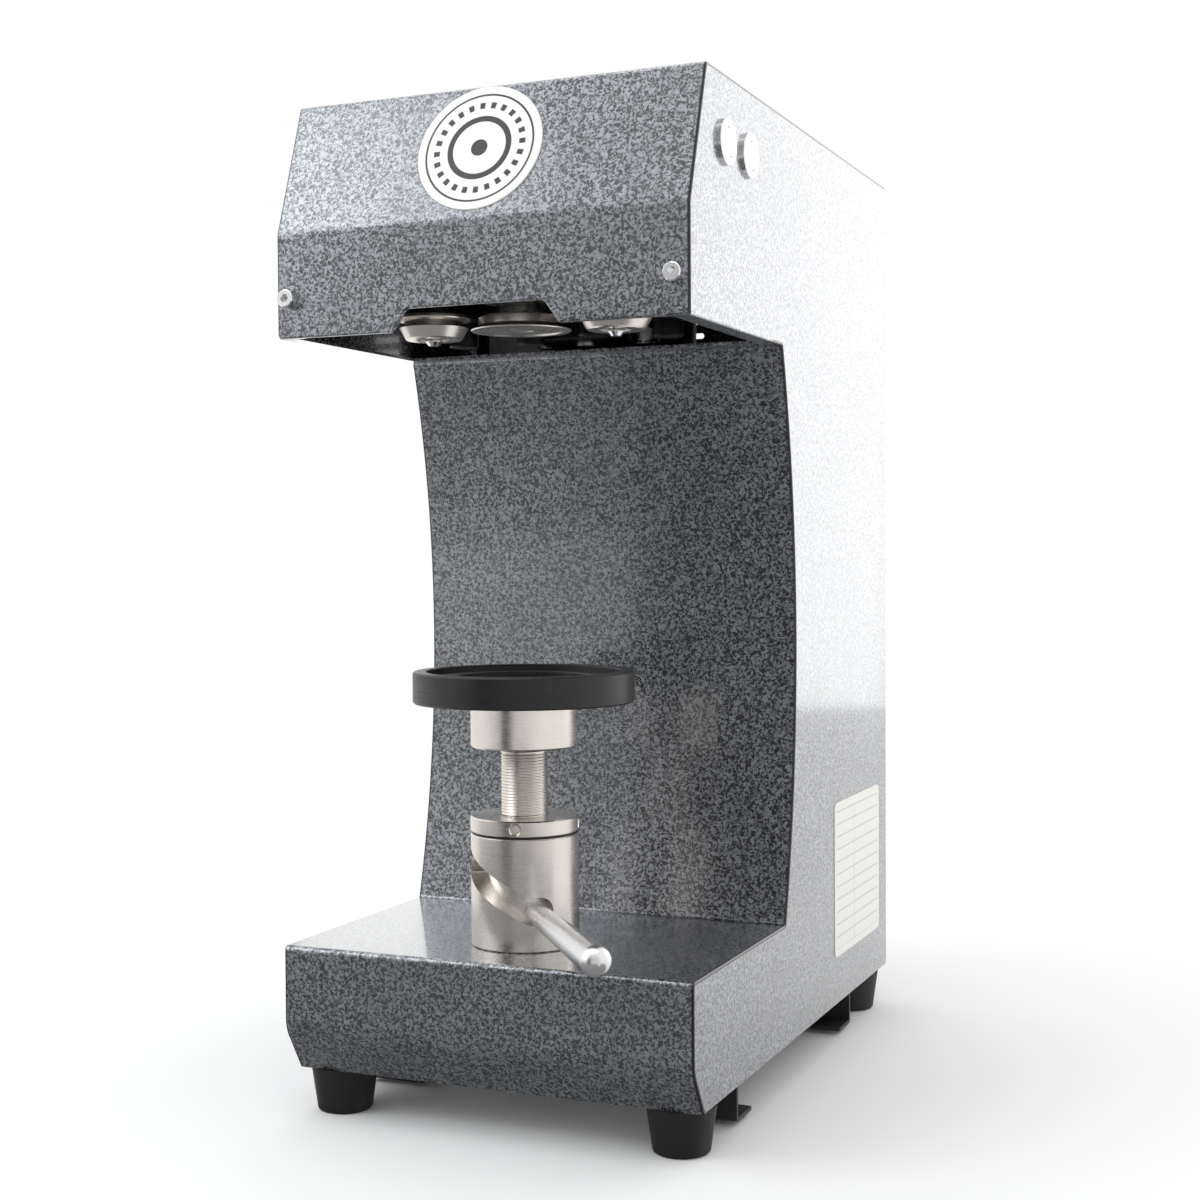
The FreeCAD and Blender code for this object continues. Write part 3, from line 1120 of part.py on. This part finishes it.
os.makedirs(PARTS, exist_ok=True)
for name, shape in all_parts().items():
    solids = [place(solid) for solid in shape.Solids]
    for solid in solids:
        if not solid.isValid() or solid.Volume <= 0:
            print("check this solid:", name)
    whole = solids[0] if len(solids) == 1 else Part.makeCompound(solids)
    whole.exportStep(os.path.join(PARTS, name + ".step"))
print("frame offset y", round(FRAME_Y, 3))
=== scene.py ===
"""Looks of the bench-top can seamer: finishes, plates, thread, lights and camera round the CAD frame.

Lengths are in metres; MM turns millimetres into them.
"""
import math

import bpy
from mathutils import Matrix, Vector


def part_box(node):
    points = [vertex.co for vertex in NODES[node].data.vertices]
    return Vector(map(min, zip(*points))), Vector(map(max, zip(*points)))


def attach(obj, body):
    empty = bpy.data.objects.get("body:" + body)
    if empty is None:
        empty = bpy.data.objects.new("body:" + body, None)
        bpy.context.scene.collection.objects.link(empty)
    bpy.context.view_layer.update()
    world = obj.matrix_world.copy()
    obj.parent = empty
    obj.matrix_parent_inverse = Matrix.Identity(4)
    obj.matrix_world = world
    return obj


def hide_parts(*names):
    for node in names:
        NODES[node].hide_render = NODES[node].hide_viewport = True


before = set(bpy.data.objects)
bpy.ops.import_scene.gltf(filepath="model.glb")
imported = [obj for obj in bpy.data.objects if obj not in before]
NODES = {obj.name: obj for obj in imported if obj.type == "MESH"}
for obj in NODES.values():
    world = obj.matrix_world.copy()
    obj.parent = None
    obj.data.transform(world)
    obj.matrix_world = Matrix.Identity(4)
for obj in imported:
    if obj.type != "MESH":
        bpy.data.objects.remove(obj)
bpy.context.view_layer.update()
MM = 0.001

# ---------------------------------------------------------------- places worked out from the frame
BARREL_LOW, BARREL_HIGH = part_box("lift_barrel")
CAN_AXIS = (BARREL_LOW + BARREL_HIGH) / 2
CAN_X, CAN_Y = CAN_AXIS.x, CAN_AXIS.y
FOOT_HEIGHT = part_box("feet")[1].z
CASE_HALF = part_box("rear_panel")[1].x
BADGE_R = 32.0 * MM


# ---------------------------------------------------------------- node helpers
class Shader:
    """A material with a Principled shader, and short calls for adding nodes to it."""

    def __init__(self, name):
        self.material = bpy.data.materials.new(name)
        self.material.use_nodes = True
        self.tree = self.material.node_tree
        self.principled = self.tree.nodes["Principled BSDF"]

    def set(self, **values):
        for label, value in values.items():
            self.principled.inputs[label.replace("_", " ")].default_value = value

    def node(self, kind, **properties):
        made = self.tree.nodes.new(kind)
        for label, value in properties.items():
            setattr(made, label, value)
        return made

    def link(self, source, target):
        self.tree.links.new(source, target)

    def math(self, operation, first, second=None):
        made = self.node("ShaderNodeMath", operation=operation)
        for socket, value in zip(made.inputs, (first, second)):
            if value is None:
                continue
            if isinstance(value, (int, float)):
                socket.default_value = value
            else:
                self.link(value, socket)
        return made.outputs[0]

    def place(self):
        """Position on the part, in metres."""
        return self.node("ShaderNodeTexCoord").outputs["Object"]

    def axes(self, vector):
        split = self.node("ShaderNodeSeparateXYZ")
        self.link(vector, split.inputs[0])
        return split.outputs

    def vector(self, x, y, z):
        joined = self.node("ShaderNodeCombineXYZ")
        for socket, value in zip(joined.inputs, (x, y, z)):
            if isinstance(value, (int, float)):
                socket.default_value = value
            else:
                self.link(value, socket)
        return joined.outputs[0]

    def noise(self, vector, scale, detail=2.0, roughness=0.5, distortion=0.0):
        made = self.node("ShaderNodeTexNoise")
        made.inputs["Scale"].default_value = scale
        made.inputs["Detail"].default_value = detail
        made.inputs["Roughness"].default_value = roughness
        made.inputs["Distortion"].default_value = distortion
        self.link(vector, made.inputs["Vector"])
        return made.outputs[0]

    def remap(self, value, low, high, to_low=0.0, to_high=1.0):
        """Smooth step of value between low and high, onto to_low and to_high."""
        made = self.node("ShaderNodeMapRange", interpolation_type="SMOOTHSTEP")
        self.link(value, made.inputs[0])
        for socket, number in zip(made.inputs[1:5], (low, high, to_low, to_high)):
            socket.default_value = number
        return made.outputs[0]

    def mix(self, factor, first, second):
        made = self.node("ShaderNodeMix", data_type="RGBA")
        self.link(factor, made.inputs[0])
        for socket, value in ((made.inputs[6], first), (made.inputs[7], second)):
            if isinstance(value, tuple):
                socket.default_value = (*value, 1.0)
            else:
                self.link(value, socket)
        return made.outputs[2]

    def bump(self, height, strength, distance):
        made = self.node("ShaderNodeBump")
        made.inputs["Strength"].default_value = strength
        made.inputs["Distance"].default_value = distance
        self.link(height, made.inputs["Height"])
        self.link(made.outputs[0], self.principled.inputs["Normal"])


# ---------------------------------------------------------------- materials
def hammered_coat(name, ground, fleck, painted_edge_shade=False):
    """Hammertone powder coat: pale metallic worms of about a millimetre on a dark glossy ground.

    The last argument paints the bent sheets' own side edges, where they meet the side panels, near black and
    rougher: painted shade for the dark line the light leaves along those edges.
    """
    shader = Shader(name)
    place = shader.place()
    cells = shader.noise(place, 640.0, detail=1.0, distortion=1.0)
    flecks = shader.remap(cells, 0.38, 0.64)
    cloud = shader.remap(shader.noise(place, 16.0, detail=2.0), 0.3, 0.7, 0.85, 1.0)
    flecks = shader.math("MULTIPLY", flecks, cloud)
    color = shader.mix(flecks, ground, fleck)
    rough = shader.remap(flecks, 0.0, 1.0, 0.26, 0.36)
    if painted_edge_shade:
        # painted shade: over the last 1.5 mm towards each side panel the sheet fades to near black and gets
        # rougher, in place of the dark line the light leaves along that edge
        x = shader.axes(place)[0]
        edge_shade_mask = shader.remap(shader.math("ABSOLUTE", x), CASE_HALF - 1.5 * MM, CASE_HALF - 0.7 * MM)
        color = shader.mix(edge_shade_mask, color, (0.010, 0.010, 0.011))
        rough = shader.math("MAXIMUM", rough, shader.math("MULTIPLY", edge_shade_mask, 0.6))
    shader.link(color, shader.principled.inputs["Base Color"])
    shader.link(rough, shader.principled.inputs["Roughness"])
    shader.set(Metallic=0.82, Coat_Weight=1.0, Coat_Roughness=0.09)
    shader.bump(cells, 0.30, 0.00012)
    return shader.material


def flat_length(shader, first, second):
    """Length of the vector whose two components are first and second."""
    squares = shader.math("ADD", shader.math("MULTIPLY", first, first), shader.math("MULTIPLY", second, second))
    return shader.math("SQRT", squares)


def lathe_vector(shader, along, around):
    """Coordinates that run across the tool marks of a turned piece: radius and height, with a slow angle."""
    x, y, z = shader.axes(shader.place())
    dx = shader.math("SUBTRACT", x, CAN_X)
    dy = shader.math("SUBTRACT", y, CAN_Y)
    radius = flat_length(shader, dx, dy)
    angle = shader.math("ARCTAN2", dy, dx)
    return shader.vector(shader.math("MULTIPLY", radius, along), shader.math("MULTIPLY", z, along),
                         shader.math("MULTIPLY", angle, around))


def turned_steel(name, color, roughness, anisotropy):
    """Satin turned stainless steel, with fine tool marks round the can axis."""
    shader = Shader(name)
    marks = shader.noise(lathe_vector(shader, 5200.0, 0.7), 1.0, detail=2.0, roughness=0.6)
    stain = shader.noise(shader.place(), 60.0, detail=3.0)
    tone = shader.remap(marks, 0.25, 0.75)
    dark = tuple(c * 0.90 for c in color)
    shader.link(shader.mix(tone, dark, color), shader.principled.inputs["Base Color"])
    stained = shader.remap(stain, 0.3, 0.7, -0.03, 0.04)
    marked = shader.remap(marks, 0.3, 0.7, roughness - 0.03, roughness + 0.04)
    shader.link(shader.math("ADD", stained, marked), shader.principled.inputs["Roughness"])
    shader.set(Metallic=1.0, Anisotropic=anisotropy)
    tangent = shader.node("ShaderNodeTangent", direction_type="RADIAL", axis="Z")
    shader.link(tangent.outputs[0], shader.principled.inputs["Tangent"])
    shader.bump(marks, 0.08, 0.00003)
    return shader.material


def polished_steel(name, color, roughness):
    shader = Shader(name)
    smear = shader.noise(shader.place(), 90.0, detail=4.0)
    shader.link(shader.remap(smear, 0.3, 0.7, roughness, roughness + 0.06),
                shader.principled.inputs["Roughness"])
    shader.link(shader.mix(smear, tuple(c * 0.93 for c in color), color),
                shader.principled.inputs["Base Color"])
    shader.set(Metallic=1.0)
    shader.bump(shader.noise(shader.place(), 800.0), 0.03, 0.00003)
    return shader.material


def plated_steel(name, color, roughness):
    """Zinc-plated or blackened steel with a faint mottle."""
    shader = Shader(name)
    place = shader.place()
    mottle = shader.noise(place, 240.0, detail=4.0, roughness=0.65)
    shader.link(shader.mix(mottle, tuple(c * 0.7 for c in color), color),
                shader.principled.inputs["Base Color"])
    shader.link(shader.remap(mottle, 0.3, 0.7, roughness - 0.06, roughness + 0.08),
                shader.principled.inputs["Roughness"])
    shader.set(Metallic=1.0)
    shader.bump(mottle, 0.08, 0.00005)
    return shader.material


def turned_plastic(name, color, roughness):
    """Black turned plastic with faint rings."""
    shader = Shader(name)
    rings = shader.noise(lathe_vector(shader, 1900.0, 0.8), 1.0, detail=3.0, roughness=0.6)
    dust = shader.remap(shader.noise(shader.place(), 420.0, detail=4.0), 0.62, 0.80, 0.0, 0.25)
    shader.link(shader.mix(dust, color, (0.11, 0.108, 0.105)), shader.principled.inputs["Base Color"])
    shader.link(shader.remap(rings, 0.3, 0.7, roughness - 0.05, roughness + 0.07),
                shader.principled.inputs["Roughness"])
    shader.bump(rings, 0.14, 0.00008)
    return shader.material


def grained(name, color, roughness, grain_scale, depth):
    """Moulded rubber, plastic or textured paint with a fine grain."""
    shader = Shader(name)
    place = shader.place()
    grain = shader.noise(place, grain_scale, detail=3.0, roughness=0.6)
    cloud = shader.noise(place, 35.0, detail=2.0)
    shader.link(shader.mix(cloud, tuple(c * 0.75 for c in color), tuple(c * 1.25 for c in color)),
                shader.principled.inputs["Base Color"])
    shader.link(shader.remap(grain, 0.3, 0.7, roughness - 0.07, roughness + 0.07),
                shader.principled.inputs["Roughness"])
    shader.bump(grain, 0.35, depth)
    return shader.material


def band(shader, value, centre, half_width, soft):
    """1 within half_width of centre, falling to 0 over soft."""
    away = shader.math("ABSOLUTE", shader.math("SUBTRACT", value, centre))
    return shader.remap(away, half_width + soft, half_width)


def printed_badge(name):
    """Plain roundel: pale film with thin dark rings, a ring of dashes and a dot."""
    shader = Shader(name)
    low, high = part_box("front_badge")
    middle = (low + high) / 2
    x, _, z = shader.axes(shader.place())
    across = shader.math("SUBTRACT", x, middle.x)
    rise = (high.z - low.z) / (2 * BADGE_R)
    up = shader.math("DIVIDE", shader.math("SUBTRACT", z, middle.z), rise)
    radius = flat_length(shader, across, up)
    angle = shader.math("ARCTAN2", up, across)
    spokes = shader.math("SINE", shader.math("MULTIPLY", angle, 24.0))
    dash_ring = band(shader, radius, 22.0 * MM, 1.5 * MM, 0.15 * MM)
    ink = shader.math("MULTIPLY", shader.remap(spokes, 0.0, 0.25), dash_ring)
    for ring_radius, half_width in ((27.5, 0.45), (15.0, 1.4), (0.0, 4.2)):
        ring = band(shader, radius, ring_radius * MM, half_width * MM, 0.12 * MM)
        ink = shader.math("MAXIMUM", ink, ring)
    shader.link(shader.mix(ink, (0.86, 0.85, 0.82), (0.035, 0.035, 0.04)),
                shader.principled.inputs["Base Color"])
    fibre = shader.noise(shader.place(), 1200.0)
    shader.link(shader.remap(fibre, 0.3, 0.7, 0.30, 0.38), shader.principled.inputs["Roughness"])
    return shader.material


def ruled_plate(name):
    """Blank pale plate with a ruled border and empty ruled rows."""
    shader = Shader(name)
    low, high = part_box("rating_plate")
    _, y, z = shader.axes(shader.place())
    width, height = high.y - low.y, high.z - low.z
    across = shader.math("ABSOLUTE", shader.math("SUBTRACT", y, (low.y + high.y) / 2))
    up = shader.math("SUBTRACT", z, low.z)
    line, soft = 0.30 * MM, 0.12 * MM
    inset = 4.0 * MM
    within_width = shader.remap(across, width / 2 - inset + soft, width / 2 - inset)
    within_height = shader.math("MULTIPLY", shader.remap(up, inset, inset + soft),
                                shader.remap(up, height - inset + soft, height - inset))
    inside = shader.math("MULTIPLY", within_width, within_height)
    row = shader.math("PINGPONG", shader.math("SUBTRACT", up, inset), 3.5 * MM)
    rows = shader.math("MULTIPLY", shader.remap(row, line + soft, line), inside)
    column = band(shader, shader.math("SUBTRACT", y, low.y), width * 0.42, line, soft)
    columns = shader.math("MULTIPLY", column, inside)
    ink = shader.math("MAXIMUM", rows, columns)
    shader.link(shader.mix(ink, (0.83, 0.82, 0.77), (0.55, 0.55, 0.53)),
                shader.principled.inputs["Base Color"])
    fibre = shader.noise(shader.place(), 900.0)
    shader.link(shader.remap(fibre, 0.3, 0.7, 0.34, 0.42), shader.principled.inputs["Roughness"])
    return shader.material


GROUND, FLECK = (0.082, 0.085, 0.092), (0.39, 0.405, 0.435)
CASE_COAT = hammered_coat("hammered_coat", GROUND, FLECK)
SKIN_COAT = hammered_coat("hammered_skin_coat", GROUND, FLECK, painted_edge_shade=True)
STAINLESS = turned_steel("turned_stainless", (0.83, 0.78, 0.725), 0.26, anisotropy=0.5)
CHROME = polished_steel("polished_steel", (0.90, 0.90, 0.91), 0.14)
SATIN = polished_steel("satin_steel", (0.86, 0.86, 0.87), 0.26)
PLATED = plated_steel("zinc_plated", (0.62, 0.62, 0.63), 0.36)
BLACKENED = plated_steel("blackened_steel", (0.035, 0.035, 0.036), 0.42)
MOTOR_PAINT = grained("motor_paint", (0.035, 0.035, 0.037), 0.45, 900.0, 0.00005)
PLATE_PLASTIC = turned_plastic("turned_plastic", (0.008, 0.007, 0.007), 0.40)
RUBBER = grained("foot_rubber", (0.012, 0.011, 0.010), 0.62, 1500.0, 0.00006)
BRACKET_PAINT = grained("bracket_paint", (0.012, 0.012, 0.013), 0.5, 900.0, 0.00012)
BELT_RUBBER = grained("belt_rubber", (0.018, 0.018, 0.018), 0.6, 1200.0, 0.00005)
CIRCUIT = grained("circuit_board", (0.02, 0.11, 0.05), 0.4, 700.0, 0.00004)
BADGE_PRINT = printed_badge("badge_print")
PLATE_PRINT = ruled_plate("plate_print")

FINISHES = {
    CASE_COAT: ["side_panel_left", "side_panel_right", "rear_panel"],
    SKIN_COAT: ["front_skin", "head_cover"],
    STAINLESS: ["lift_barrel", "lift_cylinder", "lock_ring", "turntable_hub", "chuck", "chuck_spindle",
                "seaming_roller_left", "seaming_roller_right", "threaded_spindle"],
    CHROME: ["head_cover_screws", "chuck_screw", "button_bodies", "start_button", "stop_button",
             "can_plate_screws", "arm_pins_left", "arm_pins_right"],
    SATIN: ["lever"],
    PLATED: ["base_plate", "frame_bolts", "lift_pedestal", "board_bracket", "foot_screws",
             "rear_panel_screws", "spindle_pulley", "motor_pulley", "motor_shaft", "cam_shaft",
             "turntable_bearing", "spindle_bearings", "cam_follower_left", "cam_follower_right"],
    BLACKENED: ["roller_arm_left", "roller_arm_right", "cam", "stop_posts", "head_plate", "pivot_collars",
                "arm_pivot_left", "arm_pivot_right", "arm_springs", "column_plate_left",
                "column_plate_right"],
    MOTOR_PAINT: ["drive_motor", "cam_gearmotor", "spindle_housing"],
    PLATE_PLASTIC: ["can_plate", "ring_washer"],
    RUBBER: ["feet", "power_socket"],
    BRACKET_PAINT: ["hook_brackets"],
    BELT_RUBBER: ["drive_belt"],
    CIRCUIT: ["control_board"],
    BADGE_PRINT: ["front_badge"],
    PLATE_PRINT: ["rating_plate"],
}


def dress_nodes():
    for material, names in FINISHES.items():
        for name in names:
            data = NODES[name].data
            data.materials.clear()
            data.materials.append(material)


dress_nodes()


# ---------------------------------------------------------------- mesh helpers
def new_object(name, vertices, faces, material, smooth=True):
    mesh = bpy.data.meshes.new(name)
    mesh.from_pydata([tuple(v) for v in vertices], [], faces)
    mesh.update()
    if smooth:
        mesh.polygons.foreach_set("use_smooth", [True] * len(mesh.polygons))
    mesh.materials.append(material)
    made = bpy.data.objects.new(name, mesh)
    bpy.context.scene.collection.objects.link(made)
    return made


THREAD_PITCH = 1.5 * MM
THREAD_DEPTH = 0.7 * MM
THREAD_LENGTH = 111.3 * MM
NECK_LENGTH = 4.9 * MM
NECK_R = 10.8 * MM
JOURNAL_R = 7.5 * MM
CHAMFER = 0.8 * MM
END_CHAMFER = 1.2 * MM


def make_threaded_spindle():
    """The spindle with its thread cut, over the plain one of the frame."""
    low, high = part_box("threaded_spindle")
    outer = (high.x - low.x) / 2
    around, step = 48, THREAD_PITCH / 6
    thread_top = low.z + THREAD_LENGTH
    count = int(THREAD_LENGTH / step)
    # each row: height, radius and how deep the thread cuts there; the last 5 steps stay clear of the neck
    rows = [(low.z, outer - END_CHAMFER, 0.0)]
    rows += [(low.z + END_CHAMFER + k * step, outer, THREAD_DEPTH) for k in range(count - 5)]
    rows += [(thread_top, outer, 0.0), (thread_top + CHAMFER, NECK_R, 0.0),
             (thread_top + NECK_LENGTH, NECK_R, 0.0), (thread_top + NECK_LENGTH, JOURNAL_R, 0.0),
             (high.z - CHAMFER, JOURNAL_R, 0.0), (high.z, JOURNAL_R - CHAMFER, 0.0)]
    vertices = []
    for z, radius, depth in rows:
        for k in range(around):
            phase = (z / THREAD_PITCH - k / around) % 1.0
            r = radius - depth * abs(2.0 * phase - 1.0)
            turn = 2.0 * math.pi * k / around
            vertices.append((CAN_X + r * math.cos(turn), CAN_Y + r * math.sin(turn), z))
    faces = []
    for row in range(len(rows) - 1):
        for k in range(around):
            a, b = row * around + k, row * around + (k + 1) % around
            faces.append((a, b, b + around, a + around))
    faces.append(tuple(reversed(range(around))))
    faces.append(tuple(range((len(rows) - 1) * around, len(rows) * around)))
    spindle = new_object("spindle_thread", vertices, faces, STAINLESS)
    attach(spindle, "height_spindle")
    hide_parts("threaded_spindle")


make_threaded_spindle()


# ---------------------------------------------------------------- floor, world and lamps
SHADOW_REACH = 0.20           # how far from the middle the floor is plain lit white
WHITE_REACH = 0.62            # from here on it is as bright as the room


def make_floor():
    """Pale floor that keeps the shadow near the object and turns to plain white further out."""
    reach = 12.0
    corners = [(-reach, -reach, 0), (reach, -reach, 0), (reach, reach, 0), (-reach, reach, 0)]
    shader = Shader("floor_white")
    shader.set(Base_Color=(0.96, 0.96, 0.96, 1.0), Roughness=0.9)
    shader.principled.inputs["Specular IOR Level"].default_value = 0.1
    x, y, _ = shader.axes(shader.place())
    white = shader.node("ShaderNodeEmission")
    white.inputs["Strength"].default_value = 1.0
    far = shader.remap(flat_length(shader, x, y), SHADOW_REACH, WHITE_REACH)
    rays = shader.node("ShaderNodeLightPath")
    seen = shader.math("MAXIMUM", rays.outputs["Is Camera Ray"], rays.outputs["Is Glossy Ray"])
    mixed = shader.node("ShaderNodeMixShader")
    shader.link(shader.math("MULTIPLY", far, seen), mixed.inputs[0])
    shader.link(shader.principled.outputs[0], mixed.inputs[1])
    shader.link(white.outputs[0], mixed.inputs[2])
    shader.link(mixed.outputs[0], shader.tree.nodes["Material Output"].inputs["Surface"])
    floor = new_object("floor", corners, [(0, 1, 2, 3)], shader.material, smooth=False)


WORLD_LEVEL = 0.85            # what the diffuse surfaces receive from all round
FRONT_GLOSS = 0.62            # how bright the room in front looks in reflections
FRONT_FLAG_LEVEL = 0.004
TABLE_FLAG_LEVEL = 0.24


def make_world():
    """White to the camera; in reflections white behind the object and dim in front of it."""
    world = bpy.data.worlds.new("studio")
    bpy.context.scene.world = world
    world.use_nodes = True
    tree = world.node_tree
    tree.nodes.clear()
    output = tree.nodes.new("ShaderNodeOutputWorld")
    rays = tree.nodes.new("ShaderNodeLightPath")
    around = tree.nodes.new("ShaderNodeTexCoord")
    split = tree.nodes.new("ShaderNodeSeparateXYZ")
    tree.links.new(around.outputs["Generated"], split.inputs[0])
    back = tree.nodes.new("ShaderNodeMapRange")
    back.interpolation_type = "SMOOTHSTEP"
    for socket, number in zip(back.inputs[1:5], (-0.85, -0.2, FRONT_GLOSS, 1.0)):
        socket.default_value = number
    tree.links.new(split.outputs[1], back.inputs[0])
    shades = []
    for strength in (WORLD_LEVEL, 1.0, 1.0):
        shade = tree.nodes.new("ShaderNodeBackground")
        shade.inputs["Strength"].default_value = strength
        shade.inputs["Color"].default_value = (1.0, 1.0, 1.0, 1.0)
        shades.append(shade)
    diffuse, glossy, camera = shades
    tree.links.new(back.outputs[0], glossy.inputs["Strength"])
    first = tree.nodes.new("ShaderNodeMixShader")
    tree.links.new(rays.outputs["Is Glossy Ray"], first.inputs[0])
    tree.links.new(diffuse.outputs[0], first.inputs[1])
    tree.links.new(glossy.outputs[0], first.inputs[2])
    second = tree.nodes.new("ShaderNodeMixShader")
    tree.links.new(rays.outputs["Is Camera Ray"], second.inputs[0])
    tree.links.new(first.outputs[0], second.inputs[1])
    tree.links.new(camera.outputs[0], second.inputs[2])
    tree.links.new(second.outputs[0], output.inputs["Surface"])


def add_softbox(name, place, target, width, height, watts, color=(1.0, 1.0, 1.0)):
    lamp = bpy.data.lights.new(name, "AREA")
    lamp.shape = "RECTANGLE"
    lamp.size = width
    lamp.size_y = height
    lamp.energy = watts
    lamp.color = color
    holder = bpy.data.objects.new(name, lamp)
    holder.visible_camera = False
    holder.location = place
    holder.rotation_euler = (Vector(target) - Vector(place)).to_track_quat("-Z", "Y").to_euler()
    bpy.context.scene.collection.objects.link(holder)


def make_lamps():
    add_softbox("left_softbox", (-1.10, -0.85, 1.05), (0, 0, 0.3), 0.9, 1.2, 8.0, (0.93, 0.97, 1.0))
    add_softbox("overhead", (-0.2, -0.2, 1.7), (0, 0, 0.2), 1.4, 1.2, 5.0)
    add_softbox("back_right", (1.0, 1.5, 0.8), (0.05, 0.1, 0.4), 1.3, 1.6, 7.6)
    add_softbox("back_left", (-0.8, 1.6, 0.5), (0, 0, 0.1), 0.7, 1.0, 1.0)


def add_flag(name, corners, level):
    """A card that only reflections see."""
    shader = Shader(name)
    shader.set(Base_Color=(level, level, level, 1.0), Roughness=1.0)
    shader.principled.inputs["Specular IOR Level"].default_value = 0.0
    flag = new_object(name, corners, [(0, 1, 2, 3)], shader.material, smooth=False)
    flag.visible_camera = False
    flag.visible_diffuse = False
    flag.visible_shadow = False


def make_flags():
    """A black card upright in front of the machine, and a grey one on the table before it."""
    left, right, front, top = -0.315, -0.02, CAN_Y - 0.70, 0.47
    add_flag("front_flag", [(left, front, 0), (right, front, 0), (right, front, top), (left, front, top)],
             FRONT_FLAG_LEVEL)
    left, right, near, far, lift = -1.0, 0.7, CAN_Y - 0.03, CAN_Y - 1.3, 0.0008
    add_flag("table_flag", [(left, far, lift), (right, far, lift), (right, near, lift), (left, near, lift)],
             TABLE_FLAG_LEVEL)


# ---------------------------------------------------------------- camera
CAMERA_PLACE = Vector((386.0, -807.1, 253.5)) * MM   # from the can axis, above the base's underside
CAMERA_YAW = 23.166
CAMERA_PITCH = 1.515
CAMERA_ROLL = -0.355
CAMERA_LENS = 55.1


def make_camera():
    data = bpy.data.cameras.new("camera")
    data.lens = CAMERA_LENS
    data.sensor_width = 36.0
    camera = bpy.data.objects.new("camera", data)
    bpy.context.scene.collection.objects.link(camera)
    place = CAMERA_PLACE + Vector((CAN_X, CAN_Y, FOOT_HEIGHT))
    yaw = Matrix.Rotation(math.radians(CAMERA_YAW), 4, "Z")
    pitch = Matrix.Rotation(math.radians(90.0 - CAMERA_PITCH), 4, "X")
    roll = Matrix.Rotation(math.radians(CAMERA_ROLL), 4, "Z")
    camera.matrix_world = Matrix.Translation(place) @ yaw @ pitch @ roll
    bpy.context.scene.camera = camera


make_floor()
make_world()
make_lamps()
make_flags()
make_camera()
bpy.context.scene.view_settings.view_transform = "Standard"
